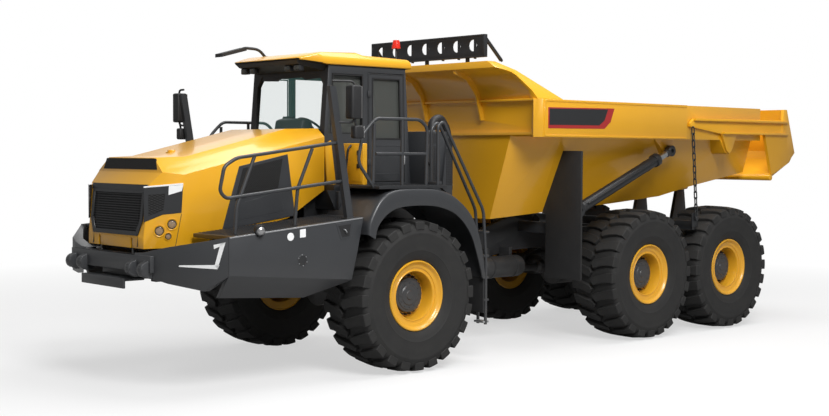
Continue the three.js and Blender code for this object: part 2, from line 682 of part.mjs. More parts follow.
// platform beside the cab, on the fender, with its railing
const deckIn = cabHalf + 12;
const platform = join(
  box([doorRear - 90, 640], [deckIn, fenderHalf - 20], [deckTop - 10, deckTop + deckThick - 10]),
  rail([[620, 1610, deckTop + 12], [870, 1610, 2540], [800, 1610, 2860], [690, 1610, 2970], [590, 1610, 3055],
    [-110, 1600, 3055], [-230, 1600, 2960], [-210, 1600, deckTop + 12]], 17),
  rail([[600, 1610, 2640], [-200, 1600, 2640]], 17),
  rail([[640, 1610, 2300], [620, 1610, 2990]], 17),
  rail([[180, 1605, deckTop + 12], [180, 1605, 3050]], 17),
);
pair("platform", platform, "grey");
const ladder = join(
  rail([[-380, 1630, deckTop + deckThick + 10], [-380, 1630, 2990], [-470, 1630, 3040], [-1160, 1640, 1930],
    [-1170, 1640, 1900]], 17),
  rail([[-410, 1480, deckTop + deckThick + 10], [-410, 1480, 2960], [-520, 1480, 3040], [-1165, 1490, 1940],
    [-1180, 1490, 1900]], 17),
  rail([[-1150, 1640, 1950], [-1210, 1640, 1300], [-1210, 1640, 480]], 17),
  rail([[-1160, 1490, 1950], [-1225, 1490, 1300], [-1225, 1490, 480]], 17),
  ...[500, 780, 1060, 1340, 1640].map((z) => box([-1260, -1160], [1480, 1650], [z, z + 24])),
  box([-440, -360], [1470, 1640], [deckTop + deckThick - 10 + touch, deckTop + 70]),
);
piece("ladder", ladder, "grey");

// cooler box behind the cab, with the intake pipe that bends over its top
const coolerFoot = cabFloor - 40;
piece("cooler_box", join(
  box([cabRear - 480, cabRear - 70], [-260, 1020], [coolerFoot - 140, 2930]),
  sidePlate([[cabRear - 480, coolerFoot - 140], [cabRear - 480, 2850], [cabRear - 400, 2930],
    [cabRear - 300, coolerFoot]], [980, 1060]),
  rail([[cabRear - 250, 900, 2900], [cabRear - 270, 900, 3060], [cabRear - 400, 900, 3110],
    [cabRear - 520, 900, 2960], [cabRear - 560, 900, 2620], [cabRear - 560, 900, 2150],
    [cabRear - 430, 900, 2120]], 62, 8),
  box([-900, -780], [-frameHalf, frameHalf], [hitchTop + earThick + touch, coolerFoot - 130]),
), "black");

// ---------------------------------------------------------------- articulation joint
const hitchBlock = box([hitchX - 150, hitchX + 130], [-150, 150], [hitchBottom + thrust, hitchTop - thrust]);
const hitchPins = bar([hitchX, 0, hitchBottom - earThick], [hitchX, 0, hitchTop + earThick], hitchPin, 24);
const trunnion = bar([hitchX - 100, 0, trunnionZ], [trunnionEnd, 0, trunnionZ], trunnionRadius, 20);
const flange = bar([hitchX - 140, 0, trunnionZ], [hitchX - 190, 0, trunnionZ], 240, 20);
const steerArms = [-1, 1].map((s) => floorPlate([
  [hitchX - 60, s * 100], [steerEye.x + 60, s * (steerEye.y + 50)], [steerEye.x - 50, s * (steerEye.y + 50)],
  [steerEye.x - 50, s * (steerEye.y - 40)], [hitchX - 145, s * 100],
], [steerZ - 95, steerZ - 45 - thrust]));
piece("hitch", join(hitchBlock, hitchPins, trunnion, flange, ...steerArms), "grey");

// ---------------------------------------------------------------- rear chassis
const ringFront = hitchX - 190 - thrust;
const rearRails = [-1, 1].map((s) => loft([
  [ringFront - 120, 1080, 1420], [-2900, rearFrameLow - 20, 1760], [-3900, rearFrameLow, rearFrameHigh],
  [rearFrameEnd, rearFrameLow + 60, rearFrameHigh],
].map(([x, low, high]) => [
  [x, s * (rearFrameHalf - 90), low], [x, s * rearFrameHalf, low],
  [x, s * rearFrameHalf, high], [x, s * (rearFrameHalf - 90), high],
])));
const ring = bar([ringFront, 0, trunnionZ], [trunnionEnd, 0, trunnionZ], 260, 20);
const ringPlate = box([trunnionEnd - 40, ringFront - 100], [-rearFrameHalf, rearFrameHalf], [1060, 1440]);
const trunnionBore = bar([ringFront + 10, 0, trunnionZ], [trunnionEnd - 5, 0, trunnionZ],
  trunnionRadius + 3, 20);
const rearCross = [-2900, -3950, -5300, -6900].map((x) =>
  box([x, x + 110], [-rearFrameHalf, rearFrameHalf], [rearFrameLow + 70, rearFrameHigh - 10]));
// cross beam with the hoist cylinders' lower lugs, outboard of the frame
const footHalf = hoistBarrel + 4;
const hoistHalf = hoistY - footHalf - free;
const hoistBeam = box([hoistFoot.x - 60, hoistFoot.x + 60], [-hoistHalf, hoistHalf], [1540, 1690]);
const hoistLugs = [-1, 1].map((s) => sidePlate([
  [hoistFoot.x - 75, 1600], [hoistFoot.x + 60, 1600], [hoistFoot.x + 70, hoistFoot.z + 50],
  [hoistFoot.x - 50, hoistFoot.z + 90], [hoistFoot.x - 90, hoistFoot.z + 20],
], [s * (hoistY - footHalf - thrust - 40), s * (hoistY - footHalf - thrust)]));
// cross beam between the middle and rear wheels that anchors the tailgate's chains
const chainBeamHalf = chainY - chainHalf - thrust - 20;
const chainBeam = box([chainX - 45, chainX + 45], [-chainBeamHalf, chainBeamHalf], [1530, 1660]);
const chainLugs = [-1, 1].map((s) => box([chainX - 70, chainX + 70],
  [s * (chainY - chainHalf - thrust - 25), s * (chainY - chainHalf - thrust)], [1570, 1780]));
// bed hinge brackets rising from the frame's tail
const hingeY = 360;
const bedBrackets = [-1, 1].map((s) => sidePlate([
  [bedPivotX - 160, rearFrameHigh - 60], [bedPivotX + 260, rearFrameHigh - 60],
  [bedPivotX + 70, bedPivotZ + 60], [bedPivotX - 60, bedPivotZ + 60],
], [s * hingeY, s * (hingeY + 60)]));
const beamMid = -wheelbase - tandem / 2;
const trunnionShaft = bar([beamMid, -900, beamPivotZ], [beamMid, 900, beamPivotZ], 78 + touch, 14);
const pivotPads = [-1, 1].map((s) => box([beamMid - 140, beamMid + 140],
  [s * (rearFrameHalf - 90), s * rearFrameHalf], [beamPivotZ - 110, rearFrameLow + 60]));
// struts that keep each axle housing to the frame
const rearAxles = [-wheelbase, -wheelbase - tandem];
const axleStruts = rearAxles.map((x) =>
  box([x - 60, x + 60], [-rearFrameHalf + 80, rearFrameHalf - 80], [axleHeight + 240, rearFrameHigh - 30]));
piece("rear_frame", cut(
  join(...rearRails, ring, ringPlate, ...rearCross, hoistBeam, ...hoistLugs, chainBeam, ...chainLugs,
    ...bedBrackets, ...pivotPads, ...axleStruts),
  trunnionBore, trunnionShaft,
  ...rearAxles.map((x) => bar([x - 300, 0, axleHeight], [x + 300, 0, axleHeight], 250 + touch, 14)),
), "black");

// the two walking beams that carry the tandem axles, joined by their cross shaft
const walkingBeams = [-1, 1].map((s) => sidePlate([
  [-wheelbase + 170, axleHeight - 130], [-wheelbase + 170, axleHeight + 150],
  [beamMid + 160, beamPivotZ + 130],
  [beamMid - 160, beamPivotZ + 130], [-wheelbase - tandem - 170, axleHeight + 150],
  [-wheelbase - tandem - 170, axleHeight - 130], [beamMid, beamPivotZ - 130],
], [s * 600, s * 740]));
piece("walking_beams", cut(
  join(...walkingBeams, bar([beamMid, -700, beamPivotZ], [beamMid, 700, beamPivotZ], 78, 14)),
  ...[axles.middle, axles.rear].map((x) =>
    bar([x, -900, axleHeight], [x, 900, axleHeight], axleTube + touch, 16)),
), "black");
// ---------------------------------------------------------------- tipping bed
// Outer half outlines of the bed's hopper along X: floor half width, floor height, side half width.
const bedSections = [
  { x: bedFront, floor: 700, z: 1750, side: 1090 },
  { x: -2880, floor: 960, z: 1825, side: 1440 },
  { x: -4400, floor: 1010, z: 1925, side: 1440 },
  { x: -5450, floor: 1080, z: 2015, side: 1440 },
  { x: -6100, floor: 1140, z: 2150, side: 1440 },
  { x: bedRear, floor: 1290, z: 2370, side: 1440 },
];
const sideTop = railLow + 40;
function hopper(inset, past) {
  return loft(bedSections.map(({ x, floor, z, side }, i) => {
    const at = i === 0 ? x - inset : x - (i === bedSections.length - 1 ? past : 0);
    const low = z + inset;
    const f = floor - inset * 0.6;
    const s = side - inset;
    const up = sideTop + (inset ? 30 : 0);
    return [[at, -f, low], [at, f, low], [at, s, up], [at, -s, up]];
  }));
}
// the band along each side's top, set in beside the tailgate's arms
const band = floorPlate([
  [bedFront + 110, 1600], [bedFront + 20, railOuter], [recessX, railOuter], [recessX - 60, railRecess],
  [bedRear, railRecess], [bedRear, 1385], [bedFront - 60, 1385], [bedFront + 60, 1560],
], [railLow, railTop]);
// the curved front wall that runs up into the canopy over the cab's back
const wallOuter = new THREE.SplineCurve([
  new THREE.Vector2(bedFront - 10, sideTop - 30), new THREE.Vector2(-2210, 3200),
  new THREE.Vector2(-2120, 3470),
  new THREE.Vector2(-1930, 3690), new THREE.Vector2(canopyLip, canopyTop - 90),
]).getPoints(10).map((p) => [p.x, p.y]);
const canopyBack = wallOuter.map(([x, z]) => [x - bedWall, z + bedWall * 0.75]).reverse();
const canopySide = [...wallOuter, [canopyLip, canopyTop], [canopyLip - 90, canopyTop],
  ...canopyBack.slice(2), [bedFront - bedWall - 10, sideTop - 30]];
const canopyFace = frontPlate([
  [-1640, railLow], [-1640, railTop + 10], [-1400, 3745], [-1200, canopyTop + 5],
  [1200, canopyTop + 5], [1400, 3745], [1640, railTop + 10], [1640, railLow],
], [-2500, canopyLip + 100]);
const canopy = both(sidePlate(canopySide, [-1650, 1650]), canopyFace);
// side cheeks that close the canopy down to the bands
const cheek = both(
  sidePlate([[bedFront - 10, railLow + 60], [-2190, 3250], [-2110, 3480], [-1920, 3700], [-1700, canopyTop],
    [-1780, canopyTop], [-2650, railTop], [-2650, railLow + 60]], [1100, 1640]),
  loft([-2700, -1500].map((x) => [[x, 1560, railLow], [x, 1640, railLow], [x, 1640, railTop + 10],
    [x, 1400, 3745], [x, 1200, canopyTop + 5], [x, 1130, canopyTop - 60], [x, 1350, 3690],
    [x, 1560, railTop - 30]])),
);
// ribs under the canopy, at the flange line and across the front wall
const flangeLine = box([bedFront - 30, bedFront + 45], [-1600, 1600], [2900, 2935]);
const midRib = box([-2230, -2120], [-1600, 1600], [3350, 3378]);
const arcRibs = [-560, 560].map((y) => both(
  sidePlate([[-2240, 3100], [-2160, 3100], [-2060, 3440], [-1880, 3640], [-1660, 3720], [-1660, 3860],
    [-2300, 3860]], [y - 15, y + 15]),
  sidePlate([...wallOuter, [canopyLip + 40, canopyTop], [-1300, canopyTop], [-1300, 2900]], [-1600, 1600]),
));
// hinge ears under the floor, either side of the frame's brackets
const bedEars = [-1, 1].flatMap((s) => [
  sidePlate([[bedPivotX + 90, bedPivotZ + 20], [bedPivotX + 330, 2345], [bedPivotX - 330, 2400],
    [bedPivotX - 90, bedPivotZ - 60], [bedPivotX + 60, bedPivotZ - 75]],
  [s * (hingeY + 60 + thrust), s * (hingeY + 110)]),
]);
// hoist eyes' lugs on the sides
const hoistPads = [-1, 1].map((s) => sidePlate([
  [hoistEye.x + 330, railLow + 20], [hoistEye.x + 80, hoistEye.z - 20], [hoistEye.x, hoistEye.z - 80],
  [hoistEye.x - 80, hoistEye.z - 30], [hoistEye.x - 120, railLow + 20],
], [s * 1290, s * (hoistY - 45 - free)]));
// lugs that hold the tailgate's arms
const gateLugs = [-1, 1].map((s) => sidePlate([
  [gatePivotX + 190, railLow + 10], [gatePivotX + 60, gatePivotZ - 40], [gatePivotX, gatePivotZ - 75],
  [gatePivotX - 60, gatePivotZ - 40], [gatePivotX - 190, railLow + 10],
], [s * 1330, s * (gateArmInner - thrust)]));
const guidePost = box([-2860, -2760], [-80, 80], [1650, 1840]);
const bed = cut(
  join(hopper(0, 0), band, band.mirror([0, 1, 0]), canopy, cheek, cheek.mirror([0, 1, 0]), flangeLine,
    midRib, ...arcRibs, ...bedEars, ...hoistPads, ...gateLugs, guidePost),
  hopper(bedWall, 60),
);
piece("dump_bed", bed, "yellow");

// spill guard on the canopy's lip: a plate with round holes, on short brackets with end stays
const guardY = 1120;
const holes = Array.from({ length: 7 }, (_, i) => -930 + i * 310);
piece("spill_guard", join(
  cut(box([canopyLip - 22, canopyLip - 8], [-guardY, guardY], [3925, guardTop]),
    ...holes.map((y) => bar([canopyLip - 60, y, 4075], [canopyLip + 40, y, 4075], 78, 12))),
  ...[-800, 0, 800].map((y) => box([canopyLip - 60, canopyLip - 20], [y - 20, y + 20],
    [canopyTop + touch, 3990])),
  ...[-1, 1].map((s) => rail([[canopyLip - 20, s * (guardY - 8), 4180], [canopyLip - 330, s * 1150, 3880]],
    16)),
).subtract(bed), "black");

// rubber guards that hang from the bed ahead of the middle wheels
const flapX = -3000;
const flapHalf = 14;
const guardShape = frontPlate([
  [1030, 930], [1680, 930], [1680, 2690], [1300, 2690], [900, 1905], [1030, 1800],
], [flapX - flapHalf, flapX + flapHalf]);
for (const [side, outline] of [["left", guardShape], ["right", guardShape.mirror([0, 1, 0])]]) {
  const trimmed = cut(outline, bed, hopper(-touch, 0),
    box([flapX - 30, flapX + 30], [-1395, 1395], [2690, 2900]));
  piece("bed_mud_guard_" + side, trimmed, "rubber");
}

// ---------------------------------------------------------------- tailgate
const gateHalf = gateArmOuter - 60;
const armPlate = sidePlate([
  [chainTopX + 25, 3060], [chainTopX + 25, 3110], [chainTopX - 60, 3180], [-7990, 3200], [-8000, 2960],
  [gatePivotX - 190, 2960],
  [gatePivotX - 70, gatePivotZ - 10], [gatePivotX, gatePivotZ - 70], [gatePivotX + 70, gatePivotZ - 10],
  [gatePivotX + 190, 2960],
], [gateArmInner, gateArmOuter - 50]);
const armFlanges = [[3150, 3180], [2960, 2990]].map(([low, high]) =>
  box([low > 3000 ? chainTopX - 55 : gatePivotX + 190, -7990], [gateArmInner, gateArmOuter], [low, high]));
const gateSide = sidePlate([
  [-7370, 3000], [-7580, 2330], [-8020, 2500], [-8230, 2680], [-7990, 3370], [-7900, 3370], [-7860, 3000],
], [gateArmInner, gateArmOuter - 40]);
const gatePlate = sidePlate([
  [-7500, 2245], [-8130, 2530], [-8260, 2690], [-7990, 3370], [-7930, 3370], [-8180, 2710],
  [-8090, 2590], [-7500, 2320],
], [-gateArmInner - 20, gateArmInner + 20]);
const gateBar = bar([-7500, -gateArmOuter + 5, 2290], [-7500, gateArmOuter - 5, 2290], 48, 12);
const gateArms = join(armPlate, ...armFlanges, gateSide);
piece("tailgate", join(gatePlate, gateBar, gateArms, gateArms.mirror([0, 1, 0])), "yellow");

// chains from the rear chassis to the front ends of the tailgate's arms
const chainInner = chainY - chainHalf;
const chainSolid = join(
  bar([chainX, chainY, chainFootZ], [chainTopX, chainY, chainTopZ], chainHalf - 2, 6),
  bar([chainX, chainInner, chainFootZ], [chainX, chainY + chainHalf, chainFootZ], 40, 10),
);
pair("tailgate_chain", chainSolid.subtract(
  sidePlate([[-6000, 3060 - free], [-5000, 3060 - free], [-5000, 3300], [-6000, 3300]], [1500, 1800]),
), "black");

// ---------------------------------------------------------------- hoist and steering cylinders
// A cylinder from its foot to its rod's eye, both round pins' axes along Y: barrel and rod.
function cylinder({ foot, eye, barrel, rod, shows, retract, pinAlong, footPin, eyePin }) {
  const a = new THREE.Vector3(...foot);
  const b = new THREE.Vector3(...eye);
  const dir = b.clone().sub(a).normalize();
  const at = (from, d) => from.clone().addScaledVector(dir, d).toArray();
  const mouth = at(b, -shows);
  const cross = (p, r, h) => bar(
    new THREE.Vector3(...p).addScaledVector(pinAlong, -h).toArray(),
    new THREE.Vector3(...p).addScaledVector(pinAlong, h).toArray(), r, 14);
  const bore = bar(at(a, barrel), at(b, -shows + 5), rod + 0.9, 12);
  const barrelSolid = cut(
    join(bar(foot, mouth, barrel, 14), bar(at(b, -shows - 90), mouth, barrel * 1.25, 14),
      cross(foot, barrel * 1.15, footPin)),
    bore,
  );
  const rodSolid = join(bar(at(a, barrel + 8 + retract), eye, rod, 12), cross(eye, rod * 1.7, eyePin));
  return [barrelSolid, rodSolid];
}
const [hoistBarrelSolid, hoistRodSolid] = cylinder({
  foot: [hoistFoot.x, hoistY, hoistFoot.z], eye: [hoistEye.x, hoistY, hoistEye.z],
  barrel: hoistBarrel, rod: hoistRod, shows: hoistRodShows, retract: 0,
  pinAlong: new THREE.Vector3(0, 1, 0), footPin: footHalf, eyePin: 45,
});
pair("hoist_barrel", hoistBarrelSolid, "black");
pair("hoist_rod", hoistRodSolid, "black");
const [steerBarrelSolid, steerRodSolid] = cylinder({
  foot: [steerFoot.x, steerFoot.y, steerZ], eye: [steerEye.x, steerEye.y, steerZ],
  barrel: steerBarrel, rod: steerRod, shows: steerRodShows, retract: steerStroke,
  pinAlong: new THREE.Vector3(0, 0, 1), footPin: steerBarrel, eyePin: 45,
});
pair("steering_barrel", join(steerBarrelSolid, bar([steerFoot.x, steerFoot.y, steerZ],
  [steerFoot.x, steerFoot.y, steerZ + steerBarrel + 15], 40, 12)), "black");
pair("steering_rod", steerRodSolid, "black");

// ---------------------------------------------------------------- the whole truck
const span = new THREE.Box3().setFromObject(truck);
truck.position.x = -(span.min.x + span.max.x) / 2;
const part = new THREE.Group();
part.add(truck);
export default part;
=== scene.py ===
# %% [markdown]
# # A six-wheel articulated dump truck, finished in Blender
# The frame holds the truck's pieces at their real size and place, each riding on the body that
# moves it. This script leaves those pieces where they are, gives every one a finish, and makes
# the finer pieces that stand for some of them: tyres with their tread, rims, rails, lamps.
# Everything is in metres, +X forward, +Y to the driver's left, +Z up.

# %% Load the frame
import json
import math

import bmesh
import bpy
from mathutils import Matrix, Vector

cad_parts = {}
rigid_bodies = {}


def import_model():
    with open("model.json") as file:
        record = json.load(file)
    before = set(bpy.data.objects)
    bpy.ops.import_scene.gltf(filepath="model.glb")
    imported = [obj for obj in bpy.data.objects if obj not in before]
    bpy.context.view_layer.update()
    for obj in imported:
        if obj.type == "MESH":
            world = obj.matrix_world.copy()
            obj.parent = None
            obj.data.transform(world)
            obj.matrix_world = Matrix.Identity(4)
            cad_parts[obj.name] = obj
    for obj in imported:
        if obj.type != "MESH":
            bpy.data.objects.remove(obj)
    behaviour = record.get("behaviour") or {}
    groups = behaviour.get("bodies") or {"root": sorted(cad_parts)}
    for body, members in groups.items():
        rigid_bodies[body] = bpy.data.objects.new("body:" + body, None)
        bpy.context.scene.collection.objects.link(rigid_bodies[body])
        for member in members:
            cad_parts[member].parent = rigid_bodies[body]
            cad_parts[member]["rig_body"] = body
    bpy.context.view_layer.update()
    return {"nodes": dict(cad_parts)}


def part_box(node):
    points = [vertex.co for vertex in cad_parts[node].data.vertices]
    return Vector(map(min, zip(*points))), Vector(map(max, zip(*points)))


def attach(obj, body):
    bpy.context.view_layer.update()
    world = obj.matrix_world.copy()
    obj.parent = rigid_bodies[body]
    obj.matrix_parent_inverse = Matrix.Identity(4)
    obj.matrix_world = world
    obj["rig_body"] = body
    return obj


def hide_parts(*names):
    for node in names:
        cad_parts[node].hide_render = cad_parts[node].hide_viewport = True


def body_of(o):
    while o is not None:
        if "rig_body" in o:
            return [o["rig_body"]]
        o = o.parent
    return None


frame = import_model()
nodes = frame["nodes"]
SIDES = {"left": 1, "right": -1}


def middle(node):
    low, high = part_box(node)
    return [(a + b) / 2 for a, b in zip(low, high)]


AXLE = middle("front_axle")[0]  # stations along the truck are measured from the front axle
AXLE_Z = middle("tyre_front_left")[2]


def at(x, y, z):
    """A place given by its distance ahead of the front axle, to the left and above the ground."""
    return Vector((AXLE + x, y, z))


# %% [markdown]
# ## The camera
# The truck is seen from ahead and from its left, a little below the height of the cab's floor,
# with a lens long enough that the wheels keep their round shape.

# %% Camera
EYE = at(10.581, 13.431, 2.655)
HEADING, TILT, ROLL = (math.radians(turn) for turn in (-131.879, -2.407, 0.279))
SENSOR_WIDTH, FOCAL_LENGTH = 36, 57.14  # millimetres, as on a real camera
ahead = Vector((math.cos(TILT) * math.cos(HEADING), math.cos(TILT) * math.sin(HEADING), math.sin(TILT)))
rightward = Vector((math.sin(HEADING), -math.cos(HEADING), 0))
upward = rightward.cross(ahead)
turned_right = rightward * math.cos(ROLL) + upward * math.sin(ROLL)
turned_up = -rightward * math.sin(ROLL) + upward * math.cos(ROLL)
camera = bpy.data.objects.new("camera", bpy.data.cameras.new("camera"))
bpy.context.collection.objects.link(camera)
camera.matrix_world = Matrix.Translation(EYE) @ Matrix((turned_right, turned_up, -ahead)).transposed().to_4x4()
camera.data.sensor_width = SENSOR_WIDTH
camera.data.lens = FOCAL_LENGTH
bpy.context.scene.camera = camera
print("camera at", [round(c, 2) for c in EYE])

# %% [markdown]
# ## Shader maths as Python
# A small class wraps a shader socket, so that a mask can be written as an expression. Numbers
# that are the same all over a surface are set on the shader's own sockets.


# %% Socket arithmetic
class Value:
    """A number that changes over the surface, held as a shader socket."""

    def __init__(self, tree, socket):
        self.tree, self.socket = tree, socket

    def maths(self, operation, other=None, swap=False):
        node = self.tree.nodes.new("ShaderNodeMath")
        node.operation = operation
        pair = [self, other] if not swap else [other, self]
        for i, item in enumerate(p for p in pair if p is not None):
            if isinstance(item, Value):
                self.tree.links.new(item.socket, node.inputs[i])
            else:
                node.inputs[i].default_value = item
        return Value(self.tree, node.outputs[0])

    def __add__(self, other):
        return self.maths("ADD", other)

    def __sub__(self, other):
        return self.maths("SUBTRACT", other)

    def __rsub__(self, other):
        return self.maths("SUBTRACT", other, swap=True)

    def __mul__(self, other):
        return self.maths("MULTIPLY", other)

    def wave(self):
        return self.maths("SINE")

    def clip(self):
        node = self.maths("ADD", 0.0)
        node.socket.node.use_clamp = True
        return node

    __radd__ = __add__
    __rmul__ = __mul__


class Finish:
    """A material with one Principled shader, and the few nodes that its finish needs."""

    def __init__(self, name, **constants):
        self.material = bpy.data.materials.new(name)
        self.material.use_nodes = True
        self.tree = self.material.node_tree
        self.shader = self.tree.nodes["Principled BSDF"]
        for socket, value in constants.items():
            self.shader.inputs[socket.replace("_", " ")].default_value = value

    def node(self, kind, settings=None, **sockets):
        made = self.tree.nodes.new(kind)
        for key, value in (settings or {}).items():
            setattr(made, key, value)
        for key, value in sockets.items():
            self.feed(made.inputs[key.replace("_", " ")], value)
        return made

    def feed(self, socket, value):
        if isinstance(value, Value):
            value = value.socket
        if isinstance(value, bpy.types.NodeSocket):
            self.tree.links.new(value, socket)
        else:
            socket.default_value = value

    def place(self):
        return self.node("ShaderNodeTexCoord").outputs["Object"]

    def axes(self):
        split = self.node("ShaderNodeSeparateXYZ", Vector=self.place())
        return [Value(self.tree, out) for out in split.outputs]

    def noise(self, scale, detail=4.0, rough=0.5, stretch=None):
        where = self.place()
        if stretch:
            where = self.node("ShaderNodeMapping", Vector=where, Scale=stretch).outputs[0]
        made = self.node("ShaderNodeTexNoise", Vector=where, Scale=scale, Detail=detail, Roughness=rough)
        return Value(self.tree, made.outputs["Fac"])

    def mix(self, mask, first, second):
        made = self.node("ShaderNodeMix", {"data_type": "RGBA"})
        self.feed(made.inputs[0], mask)
        self.feed(made.inputs[6], first)
        self.feed(made.inputs[7], second)
        return made.outputs[2]

    def set(self, socket, value):
        self.feed(self.shader.inputs[socket], value)

    def bump(self, height, strength=0.3, distance=0.002):
        made = self.node("ShaderNodeBump", Strength=strength, Distance=distance)
        self.feed(made.inputs["Height"], height)
        self.set("Normal", made.outputs[0])


def rgb(red, green, blue, alpha=1.0):
    return (red, green, blue, alpha)


print("shader helpers ready")

# %% [markdown]
# ## Paint
# The truck wears three paints, yellow, grey and the frame's near black, and a few small areas of
# white, red and silver. Each is a coat over sheet metal: its colour drifts a little from panel to
# panel, it has the faint ripple of sprayed paint, and dust dulls it low down. One function with
# two colours and a gloss makes them all, so that they age alike.


# %% Paints
DUST = (0.30, 0.27, 0.23)
DUST_TOP = 1.6  # dust lies below this height
PEEL, PEEL_DEPTH = 260.0, 0.0006  # the ripple of sprayed paint


def paint(name, colour, deep, roughness, coat, dust=0.25):
    finish = Finish(name, Metallic=0.0, Coat_Roughness=0.12)
    drift = finish.noise(1.3, 3.0)
    worn = finish.noise(9.0, 6.0, 0.65)
    low = finish.axes()[2]
    dusty = ((DUST_TOP - low) * 0.5).clip() * worn * dust
    tone = finish.mix(drift, rgb(*colour), rgb(*deep))
    finish.set("Base Color", finish.mix(dusty, tone, rgb(*DUST)))
    finish.set("Roughness", (worn * 0.10 + dusty * 0.4 + (roughness - 0.05)).clip())
    finish.set("Coat Weight", (coat - dusty).clip())
    finish.bump(finish.noise(PEEL, 2.0), 0.05, PEEL_DEPTH)
    return finish.material


YELLOW = paint("yellow_paint", (0.85, 0.425, 0.014), (0.79, 0.385, 0.011), 0.34, 0.45)
GREY = paint("grey_paint", (0.038, 0.040, 0.044), (0.030, 0.032, 0.035), 0.42, 0.22)
CHASSIS = paint("chassis_paint", (0.018, 0.019, 0.021), (0.013, 0.014, 0.016), 0.46, 0.15, 0.35)
WHITE = paint("white_stripe", (0.95, 0.95, 0.95), (0.90, 0.91, 0.91), 0.35, 0.3, 0.1)
RED = paint("red_stripe", (0.42, 0.02, 0.02), (0.36, 0.016, 0.016), 0.35, 0.3, 0.1)
SILVER = paint("grey_top_panel", (0.30, 0.305, 0.31), (0.26, 0.265, 0.27), 0.55, 0.0, 0.1)
print("paints:", YELLOW.name, GREY.name, CHASSIS.name, WHITE.name, RED.name)

# %% [markdown]
# ## Rubber, plastic, glass and metal
# Rubber is matt with a fine grain and grey bloom. Moulded plastic has a leather-like grain. The
# panes are clear, and give off a painted pale green glow that stands in for the light seen in them;
# the lamps have a bright bowl behind clear glass. Mesh too fine to cut as holes is a pattern of
# colour and bump, worked out from the place in metres.


# %% Other finishes
MOTTLE = 5.0  # patches to the metre in rubber, plastic and bare metal


def grained(name, colour, pale, roughness, grain, depth, metal=0.0):
    """Two colours mixed by patches and a fine grain; depth is the grain's height."""
    finish = Finish(name, Metallic=metal)
    cloud = finish.noise(MOTTLE, 5.0, 0.6)
    fine = finish.noise(grain, 3.0, 0.6)
    finish.set("Base Color", finish.mix(cloud * fine * 1.6, rgb(*colour), rgb(*pale)))
    finish.set("Roughness", (fine * 0.2 + roughness).clip())
    finish.bump(fine, 0.35, depth)
    return finish.material


TYRE = grained("tyre_rubber", (0.010, 0.010, 0.0105), (0.030, 0.029, 0.027), 0.66, 90.0, 0.0012)
FLAP = grained("flap_rubber", (0.010, 0.010, 0.011), (0.026, 0.026, 0.026), 0.58, 60.0, 0.001)
PLASTIC = grained("black_plastic", (0.009, 0.009, 0.010), (0.020, 0.020, 0.021), 0.45, 320.0, 0.0005)
STEEL = grained("bright_steel", (0.55, 0.56, 0.57), (0.42, 0.43, 0.44), 0.18, 140.0, 0.0003, metal=1.0)
GALVANISED = grained("galvanised", (0.42, 0.43, 0.44), (0.60, 0.61, 0.62), 0.32, 40.0, 0.0003, metal=0.8)
BRIGHT = grained("lamp_bowl", (0.50, 0.50, 0.50), (0.34, 0.34, 0.35), 0.22, 30.0, 0.0002, metal=1.0)
SEAT = grained("seat_cloth", (0.020, 0.021, 0.024), (0.060, 0.060, 0.064), 0.75, 420.0, 0.0012)


# Painted light: the colour of the glow that window glass gives off by itself, standing in for the light seen in the
# panes.
PAINTED_GLOW_COLOUR = (0.26, 0.58, 0.52)
GLASS_IOR = 1.45


def clear(name, colour, rough, weight, painted_glow=0.0):
    """Glass or a lens; the last argument is the strength of its painted glow, pale green light it gives off by
    itself though it is no lamp.
    """
    finish = Finish(name, Base_Color=rgb(*colour), Roughness=rough, IOR=GLASS_IOR, Alpha=weight,
                    Emission_Color=rgb(*PAINTED_GLOW_COLOUR), Emission_Strength=painted_glow)
    finish.set("Roughness", (finish.noise(3.0) * 0.03 + rough).clip())
    return finish.material


# The window glass carries a painted glow of pale green light that brightens the panes, though it is no lamp.
GLASS = clear("window_glass_painted_glow", (0.08, 0.10, 0.10), 0.03, 0.07, 0.36)
TINTED = clear("tinted_glass", (0.070, 0.074, 0.068), 0.05, 0.86)
LENS = clear("lamp_lens", (0.30, 0.31, 0.32), 0.04, 0.30)
BEACON = clear("beacon_red", (0.72, 0.03, 0.015), 0.15, 0.92)


def mesh_sheet(name, base, wire, pitch):
    """Woven or perforated sheet: a fine lattice of bright ridges over dark holes."""
    finish = Finish(name, Roughness=0.75)
    x, y, z = finish.axes()
    turn = 2 * math.pi / pitch
    lattice = ((x + y) * turn).wave() * (z * turn).wave()
    finish.set("Base Color", finish.mix((lattice * 1.5).clip(), rgb(*base), rgb(*wire)))
    finish.bump(lattice, 0.6, 0.004)
    return finish.material


MESH = mesh_sheet("perforated_sheet", (0.001, 0.001, 0.001), (0.008, 0.008, 0.008), 0.028)
print("finishes:", len(bpy.data.materials))

# %% [markdown]
# ## The stage
# A pale floor catches the truck's soft shadow, and the sky round it lights all sides evenly. The
# camera sees floor and sky as white; the floor's own share keeps the shadow. Glass shows the same
# white room, and glossy paint a dim one, so that its colour is not washed out.

# %% Floor, sky and lamps
MIRRORED = 0.15  # how much of the white room a mirror-like surface gives back
SKY_LIGHT = 0.26  # what the sky gives to everything, where 1 is white
SHADOW_KEPT = 0.58  # the floor's whiteness near the truck
FADE_FROM, FADE_RATE = 7.0, 0.12  # further off than this, the floor turns all white


def white_room(tree, paths):
    """1 where the camera or glass looks, and a little where a glossy surface does."""
    seen = Value(tree, paths.outputs["Is Camera Ray"]) + Value(tree, paths.outputs["Is Transmission Ray"])
    return (seen + Value(tree, paths.outputs["Is Glossy Ray"]) * MIRRORED).clip()


world = bpy.data.worlds.new("studio")
bpy.context.scene.world = world
world.use_nodes = True
sky = world.node_tree
seen = white_room(sky, sky.nodes.new("ShaderNodeLightPath"))
backdrop = sky.nodes["Background"]
backdrop.inputs["Color"].default_value = rgb(1, 1, 1)
sky.links.new((seen * (1 - SKY_LIGHT) + SKY_LIGHT).socket, backdrop.inputs["Strength"])

